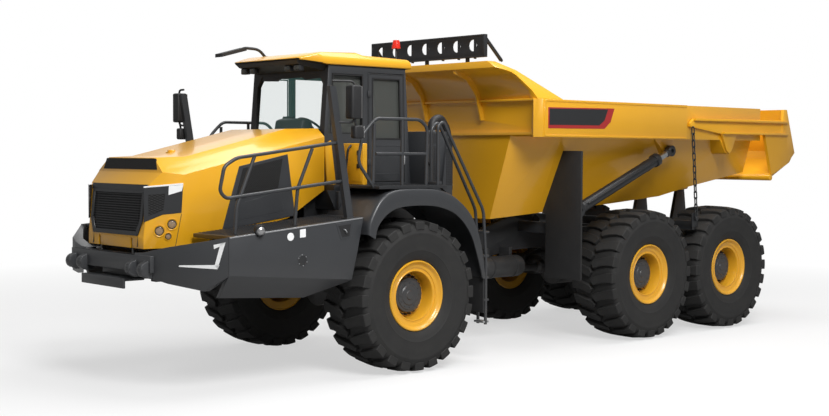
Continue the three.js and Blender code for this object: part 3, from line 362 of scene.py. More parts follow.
floor_finish = Finish("studio_floor", Base_Color=rgb(0.80, 0.80, 0.80), Roughness=0.9)
tree = floor_finish.tree
seen = white_room(tree, floor_finish.node("ShaderNodeLightPath"))
white = floor_finish.node("ShaderNodeEmission", Color=rgb(1, 1, 1), Strength=1.0)
blend = floor_finish.node("ShaderNodeMixShader")
away = floor_finish.node("ShaderNodeVectorMath", {"operation": "LENGTH"}, Vector=floor_finish.place())
fade = ((Value(tree, away.outputs["Value"]) - FADE_FROM) * FADE_RATE).clip()
floor_finish.feed(blend.inputs[0], seen * (fade * (1 - SHADOW_KEPT) + SHADOW_KEPT))
floor_finish.set("Base Color", floor_finish.mix(seen, rgb(0.30, 0.30, 0.30), rgb(0.80, 0.80, 0.80)))
tree.links.new(floor_finish.shader.outputs[0], blend.inputs[1])
tree.links.new(white.outputs[0], blend.inputs[2])
tree.links.new(blend.outputs[0], tree.nodes["Material Output"].inputs["Surface"])


def new_piece(name, mesh, *materials):
    """A finished piece: its object at the origin, and its place in its mesh."""
    made = bpy.data.objects.new(name, mesh)
    bpy.context.collection.objects.link(made)
    for material in materials:
        mesh.materials.append(material)
    return made


FLOOR = 400  # half of its width
floor_mesh = bpy.data.meshes.new("floor")
floor_corners = [(-FLOOR, -FLOOR, 0), (FLOOR, -FLOOR, 0), (FLOOR, FLOOR, 0), (-FLOOR, FLOOR, 0)]
floor_mesh.from_pydata(floor_corners, [], [(0, 1, 2, 3)])
new_piece("floor", floor_mesh, floor_finish.material)


def lamp(name, place, aim, size, power):
    light = bpy.data.lights.new(name, "AREA")
    light.size, light.energy = size, power
    made = bpy.data.objects.new(name, light)
    bpy.context.collection.objects.link(made)
    made.location = place
    made.rotation_euler = (Vector(aim) - Vector(place)).to_track_quat("-Z", "Y").to_euler()


lamp("key", (7, 12, 12), (0, 0, 1.5), 6, 2350)
lamp("top", (-2, 2, 15), (-1, 0, 2), 9, 1500)
lamp("back", (-4, -13, 9), (-1, 0, 2), 8, 150)
bpy.context.scene.view_settings.view_transform = "Standard"
print("stage set")

# %% [markdown]
# ## Sheet metal with soft edges
# Pressed and welded panels have no razor edges: every bend has a small radius that catches light.
# The frame's pieces have the right shape but sharp edges, so most are copied, their loose
# triangles merged into whole faces, and their edges rounded by a Bevel. Each copy stands for its
# node and rides on the same body.

# %% Rounded copies of the frame's pieces
MERGE = 0.00005  # corners closer than this are one
FLAT = 0.6  # degrees: faces that meet at less are one face
SHARP = 38  # degrees: an edge that turns by more keeps its crease
ROUNDED_ABOVE = 28  # degrees: an edge that turns by more is rounded


def finished_mesh(made):
    """The object's mesh with its modifiers applied, and the modifiers gone."""
    graph = bpy.context.evaluated_depsgraph_get()
    mesh = bpy.data.meshes.new_from_object(made.evaluated_get(graph), preserve_all_data_layers=True,
                                           depsgraph=graph)
    made.modifiers.clear()
    made.data = mesh
    return made


def merged(node):
    """A bmesh copy of a frame piece, with its loose triangles joined into flat faces."""
    shape = bmesh.new()
    shape.from_mesh(nodes[node].data)
    bmesh.ops.remove_doubles(shape, verts=shape.verts, dist=MERGE)
    bmesh.ops.dissolve_limit(shape, angle_limit=math.radians(FLAT), verts=shape.verts, edges=shape.edges)
    return shape


def stand_in(made, *replaced):
    """The piece stands for these frame nodes, and rides on the body of the first."""
    first = nodes[replaced[0]]
    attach(made, body_of(first)[0])
    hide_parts(*replaced)
    return made


def smooth_by_angle(mesh, degrees=SHARP):
    mesh.shade_smooth()
    mesh.set_sharp_from_angle(angle=math.radians(degrees))


def rounded(node, materials, width=0.006, segments=2, choose=None):
    """A copy of a node with rounded edges. choose gives a face's material from its middle and normal."""
    shape = merged(node)
    for face in shape.faces:
        face.material_index = choose(face.calc_center_median(), face.normal) if choose else 0
    mesh = bpy.data.meshes.new(node)
    shape.to_mesh(mesh)
    shape.free()
    made = new_piece(node + "_finish", mesh, *materials)
    bevel = made.modifiers.new("edges", "BEVEL")
    bevel.width, bevel.segments, bevel.angle_limit = width, segments, math.radians(ROUNDED_ABOVE)
    bevel.use_clamp_overlap, bevel.harden_normals = True, False
    finished_mesh(made)
    smooth_by_angle(made.data)
    return stand_in(made, node)


print("helpers for rounded copies ready")

# %% [markdown]
# ## Repeating a shape
# Lugs, bolts, slats and chain links are one small shape set down many times. Two Geometry Nodes
# trees do that for the whole truck: one sets copies round an axle, the other in a row, each turned
# past the last if asked. Both end in Realize Instances, so the result is a plain mesh. Array
# modifiers could do a row too, but a tree takes its count, step, turn and finish as inputs.


# %% Two trees that repeat a shape
class Repeater:
    """A Geometry Nodes tree that sets copies of its object's own mesh."""

    def __init__(self, name, takes):
        self.group = bpy.data.node_groups.new(name, "GeometryNodeTree")
        face = self.group.interface
        face.new_socket("Shape", in_out="INPUT", socket_type="NodeSocketGeometry")
        kinds = {"count": "NodeSocketInt", "step": "NodeSocketVector", "turn": "NodeSocketVector",
                 "finish": "NodeSocketMaterial"}
        self.keys = {}
        for key in takes:
            self.keys[key] = face.new_socket(key, in_out="INPUT", socket_type=kinds[key]).identifier
        face.new_socket("Shape", in_out="OUTPUT", socket_type="NodeSocketGeometry")
        self.start = self.group.nodes.new("NodeGroupInput")
        self.end = self.group.nodes.new("NodeGroupOutput")

    def node(self, kind, settings=None, **sockets):
        made = self.group.nodes.new(kind)
        for key, value in (settings or {}).items():
            setattr(made, key, value)
        for key, value in sockets.items():
            socket = made.inputs[key.replace("_", " ")]
            if isinstance(value, bpy.types.NodeSocket):
                self.group.links.new(value, socket)
            else:
                socket.default_value = value
        return made

    def close(self, points, rotation):
        """The last nodes of every tree: copies on points, realized, with their finish."""
        copies = self.node("GeometryNodeInstanceOnPoints", Points=points, Instance=self.start.outputs["Shape"],
                           Rotation=rotation)
        solid = self.node("GeometryNodeRealizeInstances", Geometry=copies.outputs[0])
        done = self.node("GeometryNodeSetMaterial", Geometry=solid.outputs[0],
                         Material=self.start.outputs["finish"])
        self.group.links.new(done.outputs[0], self.end.inputs[0])

    def grow(self, mesh, **values):
        """The mesh that the tree makes from this one."""
        made = bpy.data.objects.new("grown", mesh)
        bpy.context.collection.objects.link(made)
        modifier = made.modifiers.new("repeat", "NODES")
        modifier.node_group = self.group
        for key, value in values.items():
            modifier[self.keys[key]] = value
        grown = finished_mesh(made).data
        bpy.data.objects.remove(made)
        return grown


def scaled_index(tree, vector):
    """The copy's number times a vector, such as a turn or a step."""
    index = tree.node("GeometryNodeInputIndex")
    scaled = tree.node("ShaderNodeVectorMath", {"operation": "SCALE"}, Vector=vector, Scale=index.outputs[0])
    return scaled.outputs[0]


round_axle = Repeater("round_axle", takes=("count", "turn", "finish"))
hub_points = round_axle.node("GeometryNodeMeshLine", Count=round_axle.start.outputs["count"], Offset=(0, 0, 0))
round_axle.close(hub_points.outputs[0], scaled_index(round_axle, round_axle.start.outputs["turn"]))

in_row = Repeater("in_row", takes=("count", "step", "turn", "finish"))
row_points = in_row.node("GeometryNodeMeshLine", Count=in_row.start.outputs["count"],
                         Offset=in_row.start.outputs["step"])
in_row.close(row_points.outputs[0], scaled_index(in_row, in_row.start.outputs["turn"]))


def row(mesh, count, step, finish, turn=(0, 0, 0)):
    """Copies a step apart; turn is how far each is turned past the one before."""
    return in_row.grow(mesh, count=count, step=step, turn=turn, finish=finish)


def circle(mesh, count, finish):
    """Copies spread evenly round the Y axis."""
    return round_axle.grow(mesh, count=count, turn=(0, 2 * math.pi / count, 0), finish=finish)


print("trees:", [group.name for group in bpy.data.node_groups])

# %% [markdown]
# ## Small shapes in mesh code
# A turned shape is an outline spun round the Y axis, as on a lathe. A plate is an outline given
# thickness, and a tube follows a path round its bends. Modifiers could make these too, but mesh
# code gives each one in a single call. Several are gathered into one piece, each with its finish.


# %% Turned shapes, plates, tubes and gathering
WELD = 0.0002  # a spun shape's first and last ring, and its poles, are joined
BEND_STEPS = 6  # rings in each bend of a tube


def plain_mesh(shape):
    bmesh.ops.recalc_face_normals(shape, faces=shape.faces)
    mesh = bpy.data.meshes.new("shape")
    shape.to_mesh(mesh)
    shape.free()
    return mesh


def turned(outline, sides=72, closed=True):
    """Spins (radius, distance outward) points round the Y axis."""
    shape = bmesh.new()
    ring = [shape.verts.new((r, t, 0)) for r, t in outline]
    pairs = list(zip(ring, ring[1:] + ring[:1])) if closed else list(zip(ring, ring[1:]))
    edges = [shape.edges.new(pair) for pair in pairs]
    bmesh.ops.spin(shape, geom=ring + edges, cent=(0, 0, 0), axis=(0, 1, 0), angle=2 * math.pi, steps=sides,
                   use_duplicate=False)
    bmesh.ops.remove_doubles(shape, verts=shape.verts, dist=WELD)
    return plain_mesh(shape)


def prism(low, high):
    """A closed shape between two outlines with as many corners, each a list of 3-D points."""
    shape = bmesh.new()
    first = [shape.verts.new(p) for p in low]
    last = [shape.verts.new(p) for p in high]
    count = len(first)
    for i in range(count):
        j = (i + 1) % count
        shape.faces.new((first[i], first[j], last[j], last[i]))
    shape.faces.new(list(reversed(first)))
    shape.faces.new(last)
    return shape


def chamfered(shape, width, segments=1, angle=25):
    turns = math.radians(angle)
    sharp = [e for e in shape.edges if len(e.link_faces) == 2 and e.calc_face_angle() > turns]
    bmesh.ops.bevel(shape, geom=sharp, offset=width, segments=segments, affect="EDGES", profile=0.5,
                    clamp_overlap=True)
    return shape


def plate(outline, thickness, start=0.0, edge=0.0, segments=2):
    """An outline of (x, z) points, given thickness along Y from start."""
    shape = prism([(x, start, z) for x, z in outline], [(x, start + thickness, z) for x, z in outline])
    bmesh.ops.recalc_face_normals(shape, faces=shape.faces)
    return plain_mesh(chamfered(shape, edge, segments) if edge else shape)


def block(x, y, z, edge=0.0, segments=2):
    """A box from its spans along x, y and z."""
    outline = [(x[0], z[0]), (x[1], z[0]), (x[1], z[1]), (x[0], z[1])]
    return plate(outline, y[1] - y[0], y[0], edge, segments)


def spanned(x, y, z, edge=0.0, segments=2):
    """A box whose span along x is given from the front axle."""
    return block((AXLE + x[0], AXLE + x[1]), y, z, edge, segments)


def tube(points, radius, sides=12, bend=0.06):
    """A round tube through points, its corners turned to arcs of about the given bend."""
    path = [Vector(p) for p in points]
    route = [path[0]]
    for before, corner, after in zip(path, path[1:], path[2:]):
        reach = min(bend, (before - corner).length * 0.45, (after - corner).length * 0.45)
        start = corner + (before - corner).normalized() * reach
        stop = corner + (after - corner).normalized() * reach
        for k in range(BEND_STEPS):
            t = k / (BEND_STEPS - 1)
            route.append(start * (1 - t) ** 2 + corner * 2 * t * (1 - t) + stop * t ** 2)
    route.append(path[-1])
    shape = bmesh.new()
    rings = []
    side = None
    for i, place in enumerate(route):
        along = (route[min(i + 1, len(route) - 1)] - route[max(i - 1, 0)]).normalized()
        if side is None:
            side = along.orthogonal().normalized()
        side = (side - along * side.dot(along)).normalized()
        across = along.cross(side)
        turns = [2 * math.pi * k / sides for k in range(sides)]
        rings.append([shape.verts.new(place + (side * math.cos(a) + across * math.sin(a)) * radius) for a in turns])
    for near, far in zip(rings, rings[1:]):
        for k in range(sides):
            shape.faces.new((near[k], near[(k + 1) % sides], far[(k + 1) % sides], far[k]))
    shape.faces.new(rings[0])
    shape.faces.new(rings[-1])
    return plain_mesh(shape)


def shifted(mesh, place=(0, 0, 0), mirror=False, turn=None):
    """The mesh turned, mirrored to the right-hand side if asked, and moved."""
    if turn is not None:
        mesh.transform(turn)
    if mirror:
        mesh.transform(Matrix.Diagonal((1, -1, 1, 1)))
        mesh.flip_normals()
    mesh.transform(Matrix.Translation(place))
    return mesh


def gather(name, *parts, smooth=SHARP):
    """One piece from (mesh, material) pairs."""
    looks = []
    whole = bmesh.new()
    for mesh, look in parts:
        if look not in looks:
            looks.append(look)
        before = len(whole.faces)
        whole.from_mesh(mesh)
        whole.faces.ensure_lookup_table()
        for face in whole.faces[before:]:
            face.material_index = looks.index(look)
    mesh = bpy.data.meshes.new(name)
    whole.to_mesh(mesh)
    whole.free()
    smooth_by_angle(mesh, smooth)
    return new_piece(name, mesh, *looks)


def on_side(side, name, node, *parts, smooth=SHARP):
    """A piece drawn on the left, mirrored if its side is the right; {} in a name takes the side."""
    made = gather(name.format(side), *parts, smooth=smooth)
    shifted(made.data, mirror=SIDES[side] < 0)
    stand_in(made, node.format(side))


def on_each_side(name, node, *parts, smooth=SHARP):
    for side in SIDES:
        on_side(side, name, node, *parts, smooth=smooth)


print("mesh helpers ready")

# %% [markdown]
# ## Tyres
# Each tyre is a wide earthmover tyre: a round-shouldered casing with deep blocks round its tread.
# The casing is one turned outline. A block is a tapered prism whose top follows the tyre's crown;
# it reaches from the shoulder to the middle, bending on the way. A ring of blocks on each half,
# half a step apart, makes the tread. The top stays just inside the frame's 24-sided tyre.

# %% Tyre casing and blocks
CROWN = 0.9290  # radius of the tread's middle
LUGS = 24  # blocks round each half of the tread
EDGE_AT = 0.36  # a block's corners further out than this are on the shoulder
SHOULDER_FOOT, TREAD_FOOT = 0.800, 0.866  # how deep a block's foot goes
SHOULDER_SPREAD, TREAD_SPREAD = 1.04, 1.10  # a block is wider at its foot
SIDEWALL = [(0.418, 0.278), (0.432, 0.302), (0.450, 0.318), (0.52, 0.347), (0.545, 0.353), (0.552, 0.3575),
            (0.560, 0.3575), (0.567, 0.357), (0.63, 0.367), (0.70, 0.372), (0.745, 0.372), (0.752, 0.3735),
            (0.766, 0.3735), (0.773, 0.370), (0.815, 0.362), (0.846, 0.346), (0.866, 0.318), (0.874, 0.26),
            (0.877, 0.12)]
casing_outline = SIDEWALL + [(r, -t) for r, t in reversed(SIDEWALL)] + [(0.342, -0.27), (0.342, 0.27)]


def crown(across):
    """Radius of the tread's face at a distance from the tyre's middle."""
    return CROWN - 0.30 * max(0.0, abs(across) - 0.05) ** 2


def tread_block(outline, way):
    """One block from its outline (along, across), on the half of the tread given by way."""
    def rolled(radius, along, across):
        turn = along / CROWN
        return radius * math.sin(turn), way * across, radius * math.cos(turn)

    top, foot = [], []
    centre = sum(along for along, _ in outline) / len(outline)
    for along, across in outline:
        edge = across > EDGE_AT
        root, spread = (SHOULDER_FOOT, SHOULDER_SPREAD) if edge else (TREAD_FOOT, TREAD_SPREAD)
        top.append(rolled(crown(across), along, across))
        foot.append(rolled(root, centre + (along - centre) * spread, across + (0.004 if edge else 0.0)))
    shape = prism(foot, top)
    bmesh.ops.recalc_face_normals(shape, faces=shape.faces)
    return plain_mesh(chamfered(shape, 0.007, 1, 30))


BLOCK = [(-0.078, 0.368), (-0.03, 0.3695), (0.03, 0.3695), (0.078, 0.368), (0.070, 0.27), (0.088, 0.15),
         (0.125, 0.035), (0.055, -0.012), (0.006, 0.03), (-0.030, 0.15), (-0.062, 0.27)]
half_step = math.pi / LUGS
treads = []
for way in (1, -1):
    ring = circle(tread_block(BLOCK, way), LUGS, TYRE)
    treads.append(shifted(ring, turn=Matrix.Rotation(half_step if way < 0 else 0, 4, "Y")))
casing = turned(casing_outline, 96)
print("tread blocks:", 2 * LUGS, "faces a tyre:", sum(len(m.polygons) for m in treads) + len(casing.polygons))

# %% [markdown]
# ## Rims and hubs
# The rim is a deep painted dish: a rolled lip, a sloping ring, and a well that runs back to the
# planetary hub, a dark stepped disc inside a circle of studs. All of it is turned, and the studs
# come from the same tree as the tread. A valve sits at the foot of the well.

# %% Rims, hubs and studs
rim_outline = [(0.412, 0.286), (0.426, 0.292), (0.429, 0.303), (0.424, 0.313), (0.412, 0.316), (0.403, 0.310),
               (0.396, 0.296), (0.372, 0.276), (0.338, 0.262), (0.312, 0.262), (0.305, 0.268), (0.297, 0.266),
               (0.293, 0.256), (0.288, 0.20), (0.283, 0.092), (0.270, 0.078), (0.200, 0.076), (0.200, 0.024),
               (0.318, 0.024), (0.318, -0.28), (0.405, -0.300), (0.412, -0.312), (0.426, -0.303), (0.420, -0.288),
               (0.341, -0.271), (0.341, 0.271)]
hub_outline = [(0.0, 0.195), (0.052, 0.195), (0.056, 0.191), (0.060, 0.186), (0.118, 0.186), (0.122, 0.182),
               (0.128, 0.177), (0.176, 0.177), (0.181, 0.170), (0.205, 0.166), (0.213, 0.158), (0.214, 0.080),
               (0.206, 0.021), (0.0, 0.021)]
stud = turned([(0.0, 0.126), (0.0105, 0.126), (0.0125, 0.122), (0.0125, 0.104), (0.017, 0.104), (0.017, 0.074),
               (0.0, 0.074)], 6, closed=False)
STUDS, STUD_CIRCLE = 24, 0.239
HUB_BOLTS, BOLT_CIRCLE = 12, 0.150
studs = circle(shifted(stud, (STUD_CIRCLE, 0, 0)), STUDS, CHASSIS)
bolt = turned([(0.0, 0.184), (0.007, 0.184), (0.009, 0.180), (0.009, 0.170), (0.0, 0.170)], 6, closed=False)
hub_bolts = circle(shifted(bolt, (BOLT_CIRCLE, 0, 0)), HUB_BOLTS, CHASSIS)
valve = tube([(0.10, 0.255, -0.30), (0.085, 0.262, -0.285), (0.055, 0.264, -0.288), (0.03, 0.256, -0.30)], 0.006, 8)
rim, hub = turned(rim_outline, 96), turned(hub_outline, 64, closed=False)
for place in ("front", "middle", "rear"):
    for side, way in SIDES.items():
        centre = Vector(middle(f"tyre_{place}_{side}"))
        centre.z = AXLE_Z
        tyre = gather(f"tyre_{place}_{side}_tread", (casing, TYRE), (treads[0], TYRE), (treads[1], TYRE),
                      smooth=30)
        dish = gather(f"rim_{place}_{side}_dish", (rim, YELLOW), (hub, GREY), (studs, CHASSIS),
                      (hub_bolts, GREY), (valve, YELLOW), smooth=30)
        for made, node in ((tyre, f"tyre_{place}_{side}"), (dish, f"rim_{place}_{side}")):
            shifted(made.data, centre, mirror=way < 0)
            stand_in(made, node)
print("wheels made at", [round(middle(f"tyre_{p}_left")[0], 3) for p in ("front", "middle", "rear")])

# %% [markdown]
# ## Which pieces are only rounded
# Plates, castings and boxes need nothing but softer edges and their paint. The table gives each
# one its finish and the width of its rounded edges.

# %% Rounded pieces
ROUNDED = {
    "front_frame front_axle middle_axle rear_axle engine hitch rear_frame walking_beams": (CHASSIS, 0.008),
    "bed_mud_guard_left bed_mud_guard_right": (FLAP, 0.003),
    "steering_barrel_left steering_barrel_right": (CHASSIS, 0.003),
    "steering_rod_left steering_rod_right": (STEEL, 0.002),
    "front_bumper side_skirt_left side_skirt_right": (GREY, 0.008),
    "tailgate dump_bed": (YELLOW, 0.006),
    "hood": (YELLOW, 0.02),
    "spill_guard rear_guard": (PLASTIC, 0.004),
    "beacon": (BEACON, 0.004),
}
for names, (look, edge) in ROUNDED.items():
    for name in names.split():
        rounded(name, [look], edge)
print("rounded pieces:", sum(len(names.split()) for names in ROUNDED))

# %% [markdown]
# ## Panels on the hood
# The hood carries a mesh mouth in its raised scoop, dark side panels with mesh windows, and a grey
# panel with a filler cap on top. Each is a thin plate with rounded edges, set a few millimetres
# proud of the sheet it is fixed to. A surface is described by a function that turns its own two
# coordinates and a height into a place, so an outline can be drawn flat.

# %% Plates laid on a surface
BASE = 0.008  # how deep a laid plate's foot goes into its panel


def laid(surface, outline, proud, edge=0.002, sink=BASE):
    """A plate on a surface: surface(u, v, out) gives a place from an outline's corner and a height."""
    shape = prism([surface(u, v, -sink) for u, v in outline], [surface(u, v, proud) for u, v in outline])
    bmesh.ops.recalc_face_normals(shape, faces=shape.faces)
    return plain_mesh(chamfered(shape, edge, 1) if edge else shape)


def fitted(name, body, slot_name, *parts):
    """A gathered piece that rides on a body."""
    made = gather(name, *parts)
    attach(made, body)
    return made


def mirrored(mesh):
    return shifted(mesh.copy(), mirror=True)


def both_sides(*parts):
    """The parts and their copies on the truck's right-hand side."""
    return [pair for mesh, look in parts for pair in ((mesh, look), (mirrored(mesh), look))]


def hood_side(x, z, out):
    return at(x, 0.820 + out, z)


NOSE_TURN = math.atan2(0.200, 0.410)  # the nose narrows from its side panels to the grille


def nose_side(x, z, out):
    along = x - 2.72
    return at(x + out * math.sin(NOSE_TURN), 0.820 - along * math.tan(NOSE_TURN) + out * math.cos(NOSE_TURN), z)


def nose_front(y, z, out):
    return at(3.12 - 0.1017 * (z - 1.7) + out, y, z)


def scoop_front(y, z, out):
    return at(2.915 + (2.585 - z) * 0.12 + out, y, z)


def hood_top(x, y, out):
    rise = (2.945 - 2.600) / (2.560 - 0.745)
    return at(x + out * rise, y, 2.945 - (x - 0.745) * rise + out)


print("nose narrows by", round(math.degrees(NOSE_TURN), 1), "degrees")

# %% Scoop mouth, side vents and top panel
scoop = [(-0.552, 2.576), (0.552, 2.576), (0.602, 2.452), (-0.602, 2.452)]
vent_frame = [(1.985, 2.490), (1.300, 2.630), (1.190, 1.900), (2.220, 1.760)]
vent_mesh = [(1.940, 2.465), (1.375, 2.580), (1.440, 2.235), (2.050, 2.095)]
vent_panel = [(2.075, 2.040), (1.420, 2.190), (1.350, 1.965), (2.140, 1.850)]
fitted("hood_scoop_mesh", "hood", "grille_black", (laid(scoop_front, scoop, 0.004, 0.001), MESH))
fitted("hood_side_vents", "hood", "body_grey", *both_sides(
    (laid(hood_side, vent_frame, 0.010, 0.003), GREY), (laid(hood_side, vent_mesh, 0.0135, 0.002), MESH),
    (laid(hood_side, vent_panel, 0.012, 0.001), GREY)))
top_panel = [(0.80, 0.34), (0.80, -0.52), (2.30, -0.42), (2.42, -0.30), (2.42, 0.16), (2.30, 0.26)]
top_band = [(1.08, 0.335), (1.08, -0.50), (1.24, -0.49), (1.24, 0.325)]
fitted("hood_top_panel", "hood", "body_grey", (laid(hood_top, top_panel, 0.006, 0.002), SILVER),
       (laid(hood_top, top_band, 0.008, 0.001), GREY))
STOOD_UP = Matrix.Rotation(math.radians(90), 4, "X")  # takes a turned shape's axis from Y to Z
cap = turned([(0, 0.030), (0.038, 0.030), (0.046, 0.022), (0.046, 0.006), (0.066, 0.004), (0.070, 0), (0, 0)],
             32, closed=False)
fitted("hood_cap", "hood", "body_yellow", (shifted(cap, hood_top(2.330, -0.080, 0.0), turn=STOOD_UP), YELLOW))

# %% [markdown]
# ## The nose
# Dark cheeks with a mesh window run back from the grille on both sides, and a white line and a
# white corner block trim their upper edge. Seams between sheets are thin dark strips that stand
# barely proud: a real gap would need the hood's own mesh cut, and would look the same.

# %% Nose panels, trim and seams
cheek = [(3.118, 2.262), (2.728, 2.300), (2.745, 1.975), (2.930, 1.955), (3.118, 1.870)]
cheek_mesh = [(3.070, 2.175), (2.905, 2.190), (2.925, 2.005), (3.070, 1.945)]
trim_line = [(3.118, 2.268), (2.728, 2.306), (2.728, 2.286), (3.118, 2.252)]
trim_block = [(2.870, 2.272), (2.728, 2.284), (2.742, 2.216), (2.875, 2.172)]
brow = [(-0.622, 2.285), (0.622, 2.285), (0.622, 2.216), (-0.622, 2.216)]
seam = [(2.742, 1.965), (2.748, 1.965), (2.812, 1.585), (2.806, 1.585)]
SEAM = 0.0008  # how proud a seam's strip stands
apron_seams = [[(y - 0.003, 1.750), (y + 0.003, 1.750), (y + 0.003, 1.590), (y - 0.003, 1.590)]
               for y in (-0.50, 0.50)]
fitted("hood_cheeks", "hood", "body_grey", (laid(nose_front, brow, 0.006), CHASSIS), *both_sides(
    (laid(nose_side, cheek, 0.006), CHASSIS), (laid(nose_side, cheek_mesh, 0.009, 0.001), MESH),
    (laid(nose_side, trim_line, 0.009, 0.001), WHITE), (laid(nose_side, trim_block, 0.009, 0.001), WHITE),
    (laid(nose_side, seam, SEAM, 0), PLASTIC)),
       *[(laid(nose_front, line, SEAM, 0), PLASTIC) for line in apron_seams])
print("nose panels laid")

# %% [markdown]
# ## Lamps
# Three round lamps sit in each lower corner of the nose, each in a yellow socket. A lamp is turned:
# a dark bezel, a bright bowl with a small bulb, and a domed lens over it. Turning suits it, since
# one short outline gives each part.


# %% Lamps in the nose
def lamp_parts(radius, depth=0.03):
    """Bezel, bowl, bulb and lens, turned about Y and facing +Y."""
    bezel = turned([(radius, -depth), (radius, 0.004), (radius * 0.93, 0.007), (radius * 0.86, 0.004),
                    (radius * 0.84, -depth * 0.3), (radius * 0.84, -depth)], 32)
    bowl = turned([(radius * 0.85, -0.002), (radius * 0.6, -depth * 0.7), (radius * 0.2, -depth * 0.9), (0, -depth),
                   (0, -depth - 0.003), (radius * 0.85, -depth - 0.003)], 32, closed=False)
    bulb = turned([(0, -depth * 0.2), (radius * 0.12, -depth * 0.3), (radius * 0.16, -depth * 0.6),
                   (radius * 0.16, -depth)], 16, closed=False)
    lens = turned([(0, 0.010), (radius * 0.4, 0.008), (radius * 0.7, 0.004), (radius * 0.85, -0.001),
                   (radius * 0.85, -0.003), (0, -0.001)], 32, closed=False)
    return [(bezel, PLASTIC), (bowl, BRIGHT), (bulb, BRIGHT), (lens, LENS)]


def turned_to(normal):
    """The turn that takes +Y to a direction."""
    return Vector((0, 1, 0)).rotation_difference(Vector(normal)).to_matrix().to_4x4()


outward = (math.sin(NOSE_TURN), math.cos(NOSE_TURN), 0)
lamps = []
for x, z, radius in ((2.965, 1.775, 0.050), (2.840, 1.848, 0.050), (2.878, 1.712, 0.034)):
    socket = turned([(radius * 1.35, -0.03), (radius * 1.35, 0.002), (radius * 1.25, 0.003),
                     (radius * 1.0, -0.004), (radius * 1.0, -0.03)], 32)
    for mesh, look in [(socket, YELLOW)] + lamp_parts(radius):
        lamps.append((shifted(mesh, nose_side(x, z, 0.006), turn=turned_to(outward)), look))
fitted("hood_lamps", "hood", "body_yellow", *both_sides(*lamps))
print("lamps:", len(lamps))

# %% [markdown]
# ## The grille
# The grille is a fine lattice of bars in a raised frame, over a dark mesh. The openings are real:
# level slats, each as wide as the frame allows at its height, cross a row of thin uprights that
# the row tree makes.

# %% Grille frame and lattice
SLATS, SLAT_STEP, LOWEST_SLAT = 15, 0.0277, 1.780
UPRIGHTS, UPRIGHT_STEP = 39, 0.024
outer = [(-0.585, 2.216), (0.585, 2.216), (0.585, 1.885), (0.505, 1.715), (-0.505, 1.715), (-0.585, 1.885)]
inner = [(-0.535, 2.185), (0.535, 2.185), (0.535, 1.900), (0.466, 1.765), (-0.466, 1.765), (-0.535, 1.900)]
frame_bars = []
for k in range(len(outer)):
    j = (k + 1) % len(outer)
    frame_bars.append((laid(nose_front, [outer[k], outer[j], inner[j], inner[k]], 0.016, 0.004), CHASSIS))
fitted("grille_frame", "hood", "body_grey", *frame_bars)


def inside(z):
    """Half the grille's width at a height."""
    return 0.535 - max(0.0, 1.900 - z) * 0.51


slats = []
for k in range(SLATS):
    z = LOWEST_SLAT + k * SLAT_STEP
    half = inside(z)
    slats.append((laid(nose_front, [(-half, z), (half, z), (half, z + 0.010), (-half, z + 0.010)], 0.004, 0, 0.010),
                  PLASTIC))
upright = laid(nose_front, [(-0.004, 1.768), (0.004, 1.768), (0.004, 2.184), (-0.004, 2.184)], 0.0015, 0, 0.008)
first_upright = shifted(upright, (0, -UPRIGHT_STEP * (UPRIGHTS - 1) / 2, 0))
uprights = row(first_upright, UPRIGHTS, (0, UPRIGHT_STEP, 0), PLASTIC)
backing = laid(nose_front, inner, -0.006, 0, 0.022)
stand_in(gather("grille_lattice", (backing, MESH), (uprights, PLASTIC), *slats), "grille")
print("slats:", len(slats), "uprights:", UPRIGHTS)

# %% [markdown]
# ## Rails and the platform
# Handrails are steel tube bent to shape. Each is a round tube through a short list of corners,
# which the helper turns to arcs. The platform beside the cab is a deck with rows of raised grips,
# made by running the row tree twice, once along the deck and once across it.

# %% Rails along the walkway and round the platform
RAIL = 0.0205  # radius of a handrail
RAIL_SHARP = 45  # degrees: tubes of few sides are smooth up to here
POST_Y, WALK_Y = 1.580, 1.500


def tubes(paths, radius, look, bend=0.06):
    return [(tube([at(*place) for place in path], radius, 12, bend), look) for path in paths]


walk_rail = tubes([
    [(1.130, POST_Y, 2.770), (2.480, WALK_Y, 2.590), (2.640, WALK_Y, 2.500), (2.700, WALK_Y, 2.230),
     (2.620, WALK_Y, 2.150), (1.040, POST_Y, 2.330)],
    [(2.250, WALK_Y + 0.008, 2.610), (2.480, WALK_Y, 2.060), (2.500, WALK_Y, 1.760)],
    [(1.500, POST_Y - 0.012, 2.700), (1.680, WALK_Y + 0.030, 2.240), (1.720, WALK_Y + 0.030, 1.830)]], RAIL, GREY)
platform_rails = tubes([
    [(0.620, 1.610, 2.240), (0.870, 1.610, 2.540), (0.800, 1.610, 2.860), (0.690, 1.610, 2.970),
     (0.590, 1.610, 3.055), (-0.110, 1.600, 3.055), (-0.230, 1.600, 2.960), (-0.210, 1.600, 2.240)],
    [(0.600, 1.610, 2.640), (-0.200, 1.600, 2.640)], [(0.640, 1.610, 2.300), (0.620, 1.610, 2.990)],
    [(0.180, 1.605, 2.240), (0.180, 1.605, 3.050)]], RAIL, GREY, 0.09)
GRIPS_ALONG, GRIPS_ACROSS, GRIP_HEIGHT = 13, 14, 0.004
deck = (spanned((-0.450, 0.640), (0.794, 1.728), (2.226, 2.264), 0.004), CHASSIS)
grip_outline = [(0, 0), (0.05, 0.01), (0.055, 0.018), (0.005, 0.008)]
grip = plain_mesh(chamfered(prism([(x, y, 0) for x, y in grip_outline],
                                  [(x, y, GRIP_HEIGHT) for x, y in grip_outline]), 0.001))
grips = row(row(grip, GRIPS_ALONG, (0.082, 0, 0), CHASSIS), GRIPS_ACROSS, (0, 0.065, 0), CHASSIS)
deck_grips = (shifted(grips, at(-0.430, 0.825, 2.2635)), CHASSIS)
on_each_side("platform_{}_rails", "platform_{}", deck, deck_grips, *platform_rails, smooth=RAIL_SHARP)
